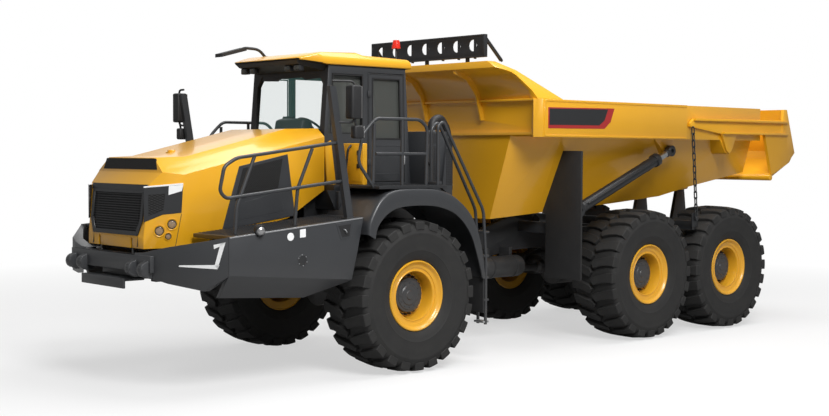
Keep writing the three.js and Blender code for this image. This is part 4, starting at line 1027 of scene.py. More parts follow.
print("platform rails:", len(platform_rails), "grips:", GRIPS_ALONG * GRIPS_ACROSS)

# %% [markdown]
# ## Mirrors
# A leaning post at each side of the walkway carries a large mirror over a small one. Each is a
# deep housing, a rounded box, with a bright face that looks back, held in a bent tube. The left
# post carries the walkway's rail as well, and its mirrors stand further back than the right ones.
# One more mirror hangs ahead of the roof on the right.

# %% Mirror posts and mirrors
POST_FOOT, POST_TOP = (0.980, 1.895), (1.240, 3.410)
LEFT_BACK, RIGHT_BACK = 0.240, 0.0  # how far the mirrors stand behind the post
ARM_Y = 1.690  # the bent tube's outer run


def mirror_head(x, y, z):
    """A housing and its face, which looks back; x, y and z are spans."""
    body = spanned((x[0] + 0.010, x[1]), y, z, 0.022, 3)
    face = spanned((x[0] + 0.004, x[0] + 0.014), (y[0] + 0.010, y[1] - 0.010), (z[0] + 0.010, z[1] - 0.010),
                   0.003)
    ribs = [(spanned((x[1] - 0.002, x[1] + 0.003), (y[0] + 0.018, y[1] - 0.018), (k, k + 0.004)), PLASTIC)
            for k in (z[0] + 0.03, z[1] - 0.034)]
    return [(body, PLASTIC), (face, BRIGHT)] + ribs


def mirror_arm(back):
    """Both mirror heads and their bent tube; back is how far they stand behind the post."""
    x = POST_TOP[0] - back
    bracket = tubes([[(1.185, POST_Y, 3.000), (x - 0.015, ARM_Y, 3.000), (x - 0.015, ARM_Y, 3.470),
                      (1.225, POST_Y, 3.470)],
                     [(x - 0.050, ARM_Y, 2.900), (x - 0.015, ARM_Y, 3.060)]], 0.0135, PLASTIC, 0.06)
    return (bracket + mirror_head((x - 0.100, x + 0.060), (1.606, 1.742), (3.040, 3.425))
            + mirror_head((x - 0.140, x + 0.010), (1.642, 1.735), (2.815, 2.965)))


post_section = [(-0.045, -0.032), (0.045, -0.032), (0.045, 0.032), (-0.045, 0.032)]
post_ends = [[at(x + along, POST_Y + across, z) for along, across in post_section]
             for x, z in (POST_FOOT, POST_TOP)]
post = (plain_mesh(chamfered(prism(*post_ends), 0.008, 2)), GREY)
post_base = (spanned((0.91, 1.05), (POST_Y - 0.06, POST_Y + 0.06), (1.880, 1.900), 0.004), CHASSIS)
clamps = [(shifted(turned([(0.0, -0.02), (0.024, -0.02), (0.024, 0.02), (0.0, 0.02)], 20, closed=False),
                   at(x, POST_Y, z)), PLASTIC) for x, z in ((1.170, 3.000), (1.232, 3.392))]
for side, arms in (("left", mirror_arm(LEFT_BACK) + walk_rail), ("right", mirror_arm(RIGHT_BACK))):
    on_side(side, "mirror_post_{}", "mirror_rail_{}", post, post_base, *clamps, *arms, smooth=RAIL_SHARP)
arm = tubes([[(0.520, -0.700, 3.872), (0.640, -0.700, 3.985), (0.830, -0.740, 3.995),
              (0.900, -0.760, 3.965)]], 0.019, PLASTIC, 0.07)
upper = [(0.850, -0.830, 4.000), (0.850, -0.670, 4.000), (1.225, -0.670, 3.900), (1.225, -0.830, 3.900)]
ROOF_MIRROR_DEPTH = 0.044
housing = plain_mesh(chamfered(prism([at(x, y, z - ROOF_MIRROR_DEPTH) for x, y, z in upper],
                                     [at(*corner) for corner in upper]), 0.014, 3))
arm_foot = shifted(turned([(0.0, -0.012), (0.034, -0.012), (0.030, 0.010), (0.018, 0.022), (0.0, 0.022)], 20,
                          closed=False), at(0.520, -0.700, 3.882), turn=STOOD_UP)
stand_in(gather("roof_mirror_head", *arm, (housing, PLASTIC), (arm_foot, PLASTIC), smooth=RAIL_SHARP),
         "roof_mirror")
print("mirrors made")

# %% [markdown]
# ## The ladder
# The way up to the platform is a ladder of two bent tubes with five rungs. A rung is a narrow box
# with a row of raised teeth for grip, and the lowest one is bare metal where boots wear it.

# %% Ladder behind the platform
ladder_rails = tubes([
    [(-0.380, 1.630, 2.262), (-0.380, 1.630, 2.990), (-0.470, 1.630, 3.040), (-1.160, 1.640, 1.930),
     (-1.210, 1.640, 1.300), (-1.210, 1.640, 0.480)],
    [(-0.410, 1.480, 2.262), (-0.410, 1.480, 2.960), (-0.520, 1.480, 3.040), (-1.165, 1.490, 1.940),
     (-1.225, 1.490, 1.300), (-1.225, 1.490, 0.480)]], RAIL, GREY, 0.07)
rung = block((0, 0.100), (0, 0.170), (0, 0.026), 0.004)
tooth = shifted(block((0.02, 0.08), (0, 0.012), (0.024, 0.030), 0.002), (0, 0.018, 0))
RUNGS, TEETH = (0.500, 0.780, 1.060, 1.340, 1.640), 6
rungs = []
for z in RUNGS:
    teeth = row(tooth.copy(), TEETH, (0, 0.026, 0), GALVANISED)
    look = GALVANISED if z == RUNGS[0] else GREY
    rungs += [(shifted(mesh, at(-1.260, 1.480, z)), look) for mesh in (rung.copy(), teeth)]
ladder_base = (spanned((-0.440, -0.360), (1.470, 1.640), (2.2656, 2.305), 0.004), GREY)
stand_in(gather("ladder_rungs", *ladder_rails, *rungs, ladder_base, smooth=RAIL_SHARP), "ladder")
print("rungs:", len(RUNGS))

# %% [markdown]
# ## Fenders
# The front fender is one pressed sheet that follows a smooth arch over the wheel: a broad side
# band, a rounded shoulder and a flat top. Its outer and inner outlines are smooth curves through a
# few points. One section, carried along both curves, makes the band and the skin above the tyre,
# and a second one the inner wall. A rubber flap with a row of bolts hangs behind the wheel.


# %% Smooth outlines and the fenders
def smooth_line(points, steps=8):
    """A smooth curve through points, as a list of points."""
    ends = [points[0]] + list(points) + [points[-1]]
    line = []
    for quartet in zip(ends, ends[1:], ends[2:], ends[3:]):
        for k in range(steps):
            t = k / steps
            line.append(tuple(0.5 * (2 * b + (c - a) * t + (2 * a - 5 * b + 4 * c - d) * t * t
                                     + (3 * b - a - 3 * c + d) * t ** 3) for a, b, c, d in zip(*quartet)))
    return line + [tuple(points[-1])]


arch_outer = smooth_line([(0.805, 1.700), (0.780, 1.860), (0.620, 2.105), (0.400, 2.215), (0.0, 2.232),
                          (-0.340, 2.205), (-0.620, 2.095), (-0.886, 1.860), (-1.045, 1.500), (-1.112, 1.090)])
arch_inner = smooth_line([(0.700, 1.640), (0.655, 1.790), (0.520, 1.925), (0.330, 2.000), (0.0, 2.020),
                          (-0.330, 1.990), (-0.620, 1.880), (-0.850, 1.640), (-0.985, 1.320), (-1.060, 1.080)])


SHEET = 0.014  # thickness of the fender's sheet


def arch_sheet(sections):
    """A sheet whose sections are points (share, y): 0 on the outer curve, 1 on the inner one."""
    shape = bmesh.new()
    rows = []
    for (ox, oz), (ix, iz) in zip(arch_outer, arch_inner):
        rows.append([shape.verts.new(at(ox + (ix - ox) * share, y, oz + (iz - oz) * share))
                     for share, y in sections])
    for near, far in zip(rows, rows[1:]):
        for k in range(len(sections) - 1):
            shape.faces.new((near[k], near[k + 1], far[k + 1], far[k]))
    bmesh.ops.recalc_face_normals(shape, faces=shape.faces)
    bmesh.ops.solidify(shape, geom=shape.faces[:], thickness=SHEET)
    return plain_mesh(shape)


band = [(0.12, 0.86), (0.0, 0.90), (0.0, 1.690), (0.02, 1.716), (0.08, 1.735), (0.18, 1.742), (0.92, 1.742),
        (0.985, 1.736), (1.0, 1.722)]
inner_wall = [(0.10, 0.862), (1.0, 0.862)]
flap = spanned((-1.128, -1.104), (1.010, 1.700), (0.640, 1.300), 0.004)
FACING_AHEAD = Matrix.Rotation(math.radians(-90), 4, "Z")  # takes a turned shape's axis from Y to X
flap_bolt = turned([(0, 0.01), (0.012, 0.008), (0.014, 0), (0, 0)], 8, closed=False)
flap_bolts = row(shifted(flap_bolt, at(-1.100, 1.08, 1.24), turn=FACING_AHEAD), 6, (0, 0.11, 0), GALVANISED)
leg = spanned((0.575, 0.640), (0.870, 1.200), (1.560, 2.050), 0.006)
on_each_side("front_fender_{}_arch", "front_fender_{}", (arch_sheet(band), GREY),
             (arch_sheet(inner_wall), CHASSIS), (leg, CHASSIS), (flap, FLAP), (flap_bolts, GALVANISED), smooth=40)
print("fender outline points:", len(arch_outer))

# %% [markdown]
# ## Bumper and skirts
# The bumper's wings carry a white angled stripe, and its tow lugs a pin head each. Along the
# skirts run a bright edge, a round bolted cover, a latch, a small work light and two plain white
# plates, and the walkway's top has rows of raised grips. The flat ones are laid on their panel
# like the hood's, and the round ones are turned.


# %% Stripes, tow pins and skirt fittings
WING_TURN = math.atan2(0.415, 0.570)


def wing(t, z, out):
    """The bumper's wing: t is the distance along it from its front corner."""
    sine, cosine = math.sin(WING_TURN), math.cos(WING_TURN)
    return at(3.095 - t * sine + out * cosine, 1.080 + t * cosine + out * sine, z)


def skirt(x, z, out):
    return at(x, 1.650 + out, z)


def ring_of(x, z, radius, sides=32):
    turns = [2 * math.pi * k / sides for k in range(sides)]
    return [(x + radius * math.cos(a), z + radius * math.sin(a)) for a in turns]


stripe = [[(0.130, 1.412), (0.575, 1.395), (0.595, 1.440), (0.550, 1.440), (0.140, 1.428)],
          [(0.575, 1.395), (0.665, 1.685), (0.610, 1.672), (0.545, 1.440)],
          [(0.665, 1.685), (0.530, 1.656), (0.536, 1.612), (0.600, 1.640)]]
wing_gap = [(0.700, 1.745), (0.7045, 1.745), (0.7045, 1.335), (0.700, 1.335)]
WING_SINK = 0.002  # the wing is thin, so its plates have a shallow foot
marks = [(laid(wing, outline, 0.0035, 0.0, WING_SINK), WHITE) for outline in stripe]
marks.append((laid(wing, wing_gap, 0.001, 0, WING_SINK), PLASTIC))
pin = turned([(0.0, 0.014), (0.020, 0.014), (0.026, 0.010), (0.026, 0.006), (0.048, 0.004), (0.052, -0.004),
              (0.0, -0.004)], 28, closed=False)
pins = [(shifted(pin.copy(), at(3.2850, y, 1.365), turn=FACING_AHEAD), CHASSIS) for y in (0.560, 0.820)]
fitted("bumper_marks", "front_chassis", "body_grey", *both_sides(*marks, *pins))
edge_line = [(2.672, 1.7405), (0.830, 1.9025), (0.830, 1.888), (2.672, 1.726)]
latch_frame = [(1.225, 1.838), (0.965, 1.860), (0.995, 1.665), (1.150, 1.650)]
latch_hole = [(1.190, 1.815), (1.005, 1.830), (1.025, 1.690), (1.130, 1.680)]
square_plate = [(1.735, 1.790), (1.655, 1.797), (1.655, 1.705), (1.735, 1.698)]
cover_x, cover_z = 1.700, 1.445
fittings = [
    (laid(skirt, edge_line, 0.004, 0.001), GALVANISED), (laid(skirt, latch_frame, 0.003, 0.001), GREY),
    (laid(skirt, latch_hole, 0.0045, 0.001), PLASTIC),
    (laid(skirt, ring_of(cover_x, cover_z, 0.066), 0.003), GREY),
    (laid(skirt, ring_of(cover_x, cover_z, 0.056), 0.006), CHASSIS),
    (laid(skirt, ring_of(1.865, 1.715, 0.045), 0.002, 0), WHITE), (laid(skirt, square_plate, 0.002, 0), WHITE)]
handle = tube([skirt(1.110, 1.770, 0), skirt(1.105, 1.765, 0.030), skirt(1.080, 1.735, 0.030),
               skirt(1.075, 1.730, 0)], 0.007)
COVER_BOLTS_AT = (0.4, 1.45, 2.5, 3.5, 4.6, 5.6)  # radians round the cover
cover_bolt = turned([(0, 0.008), (0.005, 0.008), (0.007, 0), (0, 0)], 8, closed=False)
cover_bolts = [(shifted(cover_bolt.copy(), skirt(*corner, 0.002)), GALVANISED)
               for corner in [(cover_x + 0.061 * math.cos(a), cover_z + 0.061 * math.sin(a))
                              for a in COVER_BOLTS_AT]]
lamp_body = turned([(0.0, -0.05), (0.052, -0.05), (0.066, -0.01), (0.066, 0.010), (0.058, 0.016), (0.0, 0.016)], 28,
                   closed=False)
lamp_dome = turned([(0.056, 0.012), (0.050, 0.030), (0.034, 0.046), (0.014, 0.053), (0.0, 0.054)], 28, closed=False)
tipped = Matrix.Rotation(math.radians(-28), 4, "X")
work_light = [(shifted(mesh, at(2.290, 1.668, 1.800), turn=tipped), look)
              for mesh, look in ((lamp_body, PLASTIC), (lamp_dome, BRIGHT))]
work_light.append((spanned((2.262, 2.318), (1.610, 1.672), (1.735, 1.775), 0.006), PLASTIC))
fitted("skirt_fittings", "front_chassis", "body_grey",
       *both_sides(*fittings, (handle, GALVANISED), *cover_bolts, *work_light))
walk_grip = block((0, 0.030), (0, 0.010), (0, 0.004), 0.001)
walk_grips = row(row(walk_grip, 32, (0.054, 0, -0.0048), CHASSIS), 20, (0, 0.034, 0), CHASSIS)
fitted("walkway_grip", "front_chassis", "chassis_black",
       *both_sides((shifted(walk_grips, at(0.880, 0.900, 1.8995)), CHASSIS)))
print("skirt fittings laid")

# %% [markdown]
# ## The cab
# The shell is grey outside, with black pillars round the windscreen. The windscreen and the far
# windows are clear, and the windows on the door's side are tinted. All come from the frame's own
# pieces, their faces sorted by where they are and which way they look. Thin borders laid on the
# door and the side frame its panes.

# %% Shell, glass, door and roof
CAB_HALF = 0.78  # from the middle to the cab's side


def pillar_or_panel(centre, _):
    """1 (black) for the faces round the windscreen and inside, 0 (grey) for the outer panels."""
    outside = abs(abs(centre.y) - CAB_HALF) < 0.003 or centre.x < AXLE - 0.56
    return 0 if outside and centre.x < AXLE + 0.60 else 1


def pane(centre, normal):
    """1 (tinted) for both faces of the left-hand panes, 0 (clear) for the others."""
    return 1 if normal.y > 0.7 and centre.y > 0 or normal.y < -0.7 and centre.y > 0.5 else 0


def lining(_, normal):
    """1 (black) for the roof's underside."""
    return 1 if normal.z < -0.8 else 0


rounded("cab_shell", [GREY, PLASTIC], 0.008, choose=pillar_or_panel)
rounded("cab_glass", [GLASS, TINTED], 0.001, 1, choose=pane)
rounded("door_glass", [TINTED], 0.001, 1)
rounded("cab_roof", [YELLOW, PLASTIC], 0.022, 3, choose=lining)
rounded("cab_door", [GREY], 0.007)


def door(x, z, out):
    return at(x, CAB_HALF + out, z)


def rim_of(outline, width):
    """The outline, and the same outline moved inward by a width."""
    cx, cz = (sum(p[k] for p in outline) / len(outline) for k in (0, 1))
    return [(x - math.copysign(width, x - cx), z - math.copysign(width, z - cz)) for x, z in outline]


def border(surface, outline, width, proud, look):
    """A flat frame round an outline, one bar a side."""
    within = rim_of(outline, width)
    sides = zip(outline, outline[1:] + outline[:1], within[1:] + within[:1], within)
    return [(laid(surface, list(side), proud, 0.001, 0.004), look) for side in sides]


window = [(-0.040, 2.820), (-0.525, 2.820), (-0.500, 3.590), (-0.040, 3.590)]
lower = [(-0.060, 2.380), (-0.520, 2.380), (-0.520, 2.745), (-0.060, 2.745)]
seal = [(0.016, 2.292), (-0.585, 2.292), (-0.550, 3.636), (0.016, 3.636)]
door_handle = tube([door(-0.545, 2.500, 0), door(-0.545, 2.505, 0.045), door(-0.545, 2.640, 0.045),
                    door(-0.545, 2.645, 0)], 0.010, 10, 0.02)
handle_plate = laid(door, [(-0.520, 2.480), (-0.568, 2.480), (-0.568, 2.665), (-0.520, 2.665)], 0.004, 0.002)
fitted("cab_door_trim", "cab_door", "trim_black", *border(door, window, 0.018, 0.005, PLASTIC),
       *border(door, lower, 0.010, 0.003, GREY), *border(door, seal, 0.009, 0.002, PLASTIC),
       (door_handle, GALVANISED), (handle_plate, PLASTIC))
quarter = [(0.110, 2.885), (0.110, 3.615), (0.590, 3.615), (0.628, 2.885)]
side_trim = border(door, quarter, 0.016, 0.004, PLASTIC)
fitted("cab_side_trim", "front_chassis", "trim_black", *both_sides(*side_trim))
print("cab panes and door trimmed")

# %% [markdown]
# ## Round the cab
# Under the roof's overhang a black tray holds four square work lights, over a header above the
# windscreen. Beside the cab stands a yellow locker with its latches and a bent grab bar, and below
# the windscreen a yellow cowl. Boxes and plates with rounded edges are enough for all of these.

# %% Visor tray, work lights, locker and wiper
WORK_LIGHTS_AT = (-0.560, -0.370, 0.370, 0.560)
tray_low = [(0.600, -0.700, 3.640), (0.600, 0.700, 3.640), (1.000, 0.620, 3.722), (1.000, -0.620, 3.722)]
tray_high = [(0.600, -0.740, 3.728), (0.600, 0.740, 3.728), (1.035, 0.655, 3.768), (1.035, -0.655, 3.768)]
tray = plain_mesh(chamfered(prism([at(*corner) for corner in tray_low], [at(*corner) for corner in tray_high]),
                            0.008, 2))
spots = []
for y in WORK_LIGHTS_AT:
    spots.append((spanned((0.905, 0.975), (y - 0.062, y + 0.062), (3.640, 3.715), 0.012), PLASTIC))
    spots.append((spanned((0.974, 0.980), (y - 0.050, y + 0.050), (3.652, 3.703), 0.003), TINTED))
    spots.append((spanned((0.925, 0.955), (y - 0.012, y + 0.012), (3.710, 3.740), 0.002), CHASSIS))
header_line = [(-0.66, 3.66), (-0.66, 3.57), (-0.30, 3.555), (-0.24, 3.585), (0.24, 3.585), (0.30, 3.555),
               (0.66, 3.57), (0.66, 3.66)]
header = plain_mesh(chamfered(prism(*[[at(x, y, z) for y, z in header_line] for x in (0.615, 0.650)]), 0.004))
fitted("roof_visor_tray", "front_chassis", "trim_black", (tray, PLASTIC), (header, PLASTIC), *spots)
locker = spanned((0.395, 0.470), (0.800, 1.215), (2.262, 2.765), 0.012, 3)
locker_edge = spanned((0.466, 0.476), (0.830, 1.190), (2.300, 2.735), 0.004)
locker_loop = tube([(AXLE + 0.475, 0.930, 2.330), (AXLE + 0.530, 0.960, 2.400), (AXLE + 0.530, 1.010, 2.700),
                    (AXLE + 0.475, 1.000, 2.740)], 0.014, 10, 0.05)
latches = [(spanned((0.474, 0.488), (1.120, 1.160), (z, z + 0.060), 0.004), PLASTIC) for z in (2.46, 2.62)]
cowl_side = plate([(AXLE + 0.560, 2.262), (AXLE + 0.700, 2.262), (AXLE + 0.735, 2.745), (AXLE + 0.640, 2.800)],
                  0.030, 0.790, 0.006)
under_step = spanned((0.080, 0.730), (0.560, 1.080), (1.960, 2.190), 0.012)
riser = spanned((0.560, 0.735), (0.700, 1.000), (2.186, 2.262), 0.006)
bracket = plate([(AXLE + 0.660, 2.200), (AXLE + 0.860, 2.200), (AXLE + 0.700, 1.900)], 0.020, 1.000, 0.002)
fitted("side_locker", "front_chassis", "body_yellow", (locker, YELLOW), (locker_edge, YELLOW),
       (locker_loop, PLASTIC), *latches)
fitted("cab_cowl", "front_chassis", "body_yellow",
       *both_sides((cowl_side, YELLOW), (under_step, CHASSIS), (riser, CHASSIS), (bracket, CHASSIS)))
wiper = tubes([[(0.722, 0.10, 2.800), (0.716, 0.30, 2.905), (0.709, 0.52, 2.960)]], 0.008, PLASTIC, 0.05)
blade = (spanned((0.705, 0.717), (0.22, 0.66), (2.925, 2.945), 0.003), PLASTIC)
fitted("windscreen_wiper", "front_chassis", "trim_black", *wiper, blade)
print("visor, locker and wiper made")

# %% [markdown]
# ## Inside the cab
# Through the clear windscreen the steering wheel, the hood over the instruments and the seat can be
# seen. The seat is foam under cloth: a crowned cushion, a tall back and a head rest. A cloth
# simulation would swell them too, but deep in the cab a divided box whose faces are pushed out in
# the middle and drawn in at the corners looks the same. The seat stands on rubber bellows.


# %% Seat, wheel and instruments
def cushion(x, y, z, crown_by=0.03, cells=6):
    """A padded block: a box divided into cells, its middle swollen and its corners drawn in."""
    shape = bmesh.new()
    bmesh.ops.create_cube(shape, size=1)
    bmesh.ops.subdivide_edges(shape, edges=shape.edges, cuts=cells, use_grid_fill=True)
    spans = [(b - a) / 2 for a, b in (x, y, z)]
    centre = [(a + b) / 2 for a, b in (x, y, z)]
    for vert in shape.verts:
        p = [c * 2 for c in vert.co]
        roll = 1 - 0.10 * (p[0] ** 4 * p[1] ** 4 + p[1] ** 4 * p[2] ** 4 + p[0] ** 4 * p[2] ** 4)
        for k in range(3):
            others = [p[j] for j in range(3) if j != k]
            swell = crown_by * (1 - others[0] ** 2) * (1 - others[1] ** 2) * (1 if abs(p[k]) > 0.99 else 0)
            vert.co[k] = centre[k] + (spans[k] - crown_by) * p[k] * roll + math.copysign(swell, p[k])
    bmesh.ops.smooth_vert(shape, verts=shape.verts, factor=0.5, use_axis_x=True, use_axis_y=True, use_axis_z=True)
    return plain_mesh(shape)


def padded_block(x, y, z, crown_by=0.03):
    """A cushion placed from the front axle and the cab's floor."""
    return cushion((AXLE + x[0], AXLE + x[1]), y, (seat_low + z[0], seat_low + z[1]), crown_by)


seat_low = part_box("seat")[0][2]
pedestal = (spanned((-0.320, 0.050), (-0.190, 0.190), (seat_low, seat_low + 0.300), 0.02), PLASTIC)
bellows = [(spanned((-0.330, 0.060), (-0.200, 0.200), (seat_low + h, seat_low + h + 0.022), 0.009), PLASTIC)
           for h in (0.06, 0.11, 0.16, 0.21)]
bottom = (padded_block((-0.370, 0.155), (-0.255, 0.255), (0.305, 0.465)), SEAT)
tilt = Matrix.Translation(at(-0.33, 0, seat_low + 0.42)) @ Matrix.Rotation(math.radians(-10), 4, "Y")
back = cushion((-0.075, 0.055), (-0.235, 0.235), (0.0, 0.680))
head_rest = cushion((-0.060, 0.030), (-0.140, 0.140), (0.560, 0.710), 0.02)
arm_rests = [(padded_block((-0.300, 0.020), (y - 0.03, y + 0.03), (0.62, 0.68), 0.01), PLASTIC)
             for y in (-0.225, 0.225)]
seat = gather("seat_cushions", pedestal, *bellows, bottom, (shifted(back, turn=tilt), SEAT),
              (shifted(head_rest, turn=tilt), SEAT), *arm_rests, smooth=60)
stand_in(seat, "seat")
wheel_at = at(0.330, 0, seat_low + 0.665)
WHEEL_RADIUS, GRIP_RADIUS, GRIP_SIDES = 0.190, 0.015, 10
grip_turns = [2 * math.pi * k / GRIP_SIDES for k in range(GRIP_SIDES)]
wheel_ring = turned([(WHEEL_RADIUS + GRIP_RADIUS * math.cos(a), GRIP_RADIUS * math.sin(a)) for a in grip_turns],
                    48)
lean_back = Matrix.Rotation(math.radians(-38), 4, "Y")
wheel = [(tube([wheel_at, at(0.500, 0, seat_low + 0.300)], 0.036), PLASTIC),
         (shifted(wheel_ring, wheel_at, turn=lean_back @ STOOD_UP), PLASTIC)]
for angle in (0, 120, 240):
    spoke = block((0.02, 0.182), (-0.016, 0.016), (-0.005, 0.005), 0.003)
    wheel.append((shifted(spoke, wheel_at, turn=lean_back @ Matrix.Rotation(math.radians(angle), 4, "Z")), PLASTIC))
boss = turned([(0, 0.024), (0.035, 0.022), (0.048, 0.010), (0.048, -0.02), (0, -0.02)], 24, closed=False)
wheel.append((shifted(boss, wheel_at, turn=lean_back @ STOOD_UP), PLASTIC))
console = plate([(AXLE + 0.300, seat_low), (AXLE + 0.300, seat_low + 0.120), (AXLE + 0.465, seat_low + 0.540),
                 (AXLE + 0.635, seat_low + 0.590), (AXLE + 0.635, seat_low)], 1.27, -0.635, 0.02, 3)
dials_hood = plate([(AXLE + 0.400, seat_low + 0.560), (AXLE + 0.430, seat_low + 0.720),
                    (AXLE + 0.500, seat_low + 0.790), (AXLE + 0.600, seat_low + 0.760),
                    (AXLE + 0.635, seat_low + 0.570)], 0.58, -0.40, 0.03, 3)
screen_tilt = Matrix.Translation(at(0.400, -0.42, seat_low + 0.66)) @ Matrix.Rotation(math.radians(-20), 4, "Y")
screen = shifted(block((0, 0.03), (-0.12, 0.12), (0, 0.16), 0.008), turn=screen_tilt)
stand_in(gather("dash_console", (console, PLASTIC), (dials_hood, PLASTIC), (screen, PLASTIC), *wheel, smooth=45),
         "dash")
print("seat and console made")

# %% [markdown]
# ## Hoists and chains
# A hoist is a turned barrel with a bolted collar, a plain steel rod that slides out of it, a fixed
# oil pipe along its top and an eye at each end. A chain is a row of links, each turned a quarter
# from the last, that rises from a shackle. A link is a tube round a closed path.


# %% Hoist cylinders and tailgate chains
HOIST_FOOT, HOIST_EYE = at(-3.110, 1.500, 1.880), at(-5.170, 1.500, 2.700)
ROD_SHOWS = 0.330  # how much of the rod stands out of the barrel when the bed is down
EYE_HOLE, EYE_EDGE = 0.030, 0.006


def eye_ring(radius, half):
    """A turned eye, its axle along Y."""
    inner = radius - EYE_EDGE
    return turned([(radius, -half + EYE_EDGE), (inner, -half), (EYE_HOLE, -half), (EYE_HOLE, half), (inner, half),
                   (radius, half - EYE_EDGE)], 36)


span = HOIST_EYE - HOIST_FOOT
reach = span.length
leaning = turned_to(span.normalized())
mouth = reach - ROD_SHOWS
barrel = turned([(0.072, 0.086), (0.078, 0.094), (0.078, mouth - 0.096), (0.094, mouth - 0.090),
                 (0.0965, mouth - 0.084), (0.0965, mouth - 0.010), (0.092, mouth - 0.004), (0.066, mouth),
                 (0.060, mouth - 0.004), (0.0500, mouth - 0.004), (0.0500, 0.086)], 40)
barrel_end = turned([(0, 0.02), (0.076, 0.05), (0.078, 0.060), (0.078, 0.0945), (0.074, 0.100), (0, 0.100)], 40,
                    closed=False)
bands = [turned([(0.0775, y), (0.0815, y + 0.004), (0.0815, y + 0.024), (0.0775, y + 0.028)], 36)
         for y in (0.130, mouth - 0.300)]
oil_pipe = tube([(0.070, 0.165, 0), (0.102, 0.165, 0), (0.102, mouth - 0.055, 0), (0.085, mouth - 0.055, 0)],
                0.011, 10, 0.03)
collar_bolt = turned([(0, 0.010), (0.007, 0.010), (0.008, 0), (0, 0)], 6, closed=False)
collar_bolts = circle(shifted(collar_bolt, (0.080, mouth - 0.004, 0)), 8, STEEL)
rod = turned([(0, 0.102), (0.044, 0.102), (0.048, 0.106), (0.048, reach - 0.060), (0, reach - 0.060)], 40,
             closed=False)
rod_head = turned([(0, reach - 0.130), (0.049, reach - 0.130), (0.060, reach - 0.110), (0.060, reach - 0.060),
                   (0, reach - 0.040)], 32, closed=False)
barrel_looks = [(barrel, CHASSIS), (barrel_end, CHASSIS), (oil_pipe, CHASSIS), (collar_bolts, STEEL)]
barrel_looks += [(band, CHASSIS) for band in bands]
barrel_parts = [(shifted(mesh, HOIST_FOOT, turn=leaning), look) for mesh, look in barrel_looks]
rod_parts = [(shifted(mesh, HOIST_FOOT, turn=leaning), look) for mesh, look in ((rod, STEEL), (rod_head, CHASSIS))]
barrel_parts.append((shifted(eye_ring(0.0895, 0.080), HOIST_FOOT), CHASSIS))
rod_parts.append((shifted(eye_ring(0.0810, 0.044), HOIST_EYE), CHASSIS))
for side in SIDES:
    on_side(side, "hoist_barrel_{}_turned", "hoist_barrel_{}", *barrel_parts)
    on_side(side, "hoist_rod_{}_turned", "hoist_rod_{}", *rod_parts)
CHAIN_LOW, CHAIN_HIGH = at(-5.590, 1.676, 1.700), at(-5.470, 1.676, 3.100)
LINKS, LINK_STEP, FIRST_LINK = 14, 0.0955, 0.062
LINK_WIDE, LINK_TALL = 0.021, 0.056  # half of a link, to the middle of its wire
hanging = Vector((0, 0, 1)).rotation_difference((CHAIN_HIGH - CHAIN_LOW).normalized()).to_matrix().to_4x4()
stadium = [(LINK_WIDE, 0, 0), (LINK_WIDE, 0, LINK_TALL), (-LINK_WIDE, 0, LINK_TALL), (-LINK_WIDE, 0, -LINK_TALL),
           (LINK_WIDE, 0, -LINK_TALL), (LINK_WIDE, 0, 0)]
link = tube(stadium, 0.0095, 8, 0.036)
links = row(link, LINKS, (0, 0, LINK_STEP), CHASSIS, turn=(0, 0, math.pi / 2))
shackle = block((-0.030, 0.030), (-0.020, 0.020), (-0.035, 0.030), 0.010)
chain_parts = [(shifted(mesh, CHAIN_LOW, turn=hanging), CHASSIS)
               for mesh in (shifted(links, (0, 0, FIRST_LINK)), shackle)]
on_each_side("chain_{}_links", "tailgate_chain_{}", *chain_parts, smooth=50)
print("hoists and chains made, links:", 2 * LINKS)

# %% [markdown]
# ## The bed's side rails
# A plain dark plate with a red edge sits at the front of each side rail. Thin lips run along the
# rail's upper and lower edges, and a flange closes its front end. They are laid on the rail like
# the hood's panels.


# %% Rail plates and lips
def bed_rail(x, z, out):
    return at(x, 1.690 + out, z)


red_plate = [(-2.300, 3.262), (-3.650, 3.278), (-3.570, 3.090), (-3.440, 2.995), (-2.300, 2.985)]
dark_plate = [(-2.320, 3.246), (-3.510, 3.262), (-3.440, 3.110), (-3.330, 3.040), (-2.320, 3.030)]
front_flange = [(-2.225, 3.350), (-2.262, 3.350), (-2.262, 2.885), (-2.225, 2.885)]
lip = [(-2.250, 3.366), (-5.300, 3.366), (-5.300, 3.338), (-2.250, 3.338)]
low_lip = [(-2.250, 2.902), (-5.300, 2.902), (-5.300, 2.880), (-2.250, 2.880)]
fitted("bed_rail_plates", "dump_bed", "body_yellow", *both_sides(
    (laid(bed_rail, red_plate, 0.004, 0.001), RED), (laid(bed_rail, dark_plate, 0.006, 0.001), CHASSIS),
    (laid(bed_rail, front_flange, 0.008, 0.002), YELLOW), (laid(bed_rail, lip, 0.007, 0.002), YELLOW),
    (laid(bed_rail, low_lip, 0.006, 0.002), YELLOW)))
print("rail plates laid")

# %% [markdown]
# ## The cooler
# Behind the cab stands the cooler: a grey box with a core of fine bars at its back, columns of
# small louvres in its side, and a thick rubber pipe over its top. A louvre is one small block, and
# the row tree sets it down twice: up the column, then across the columns.

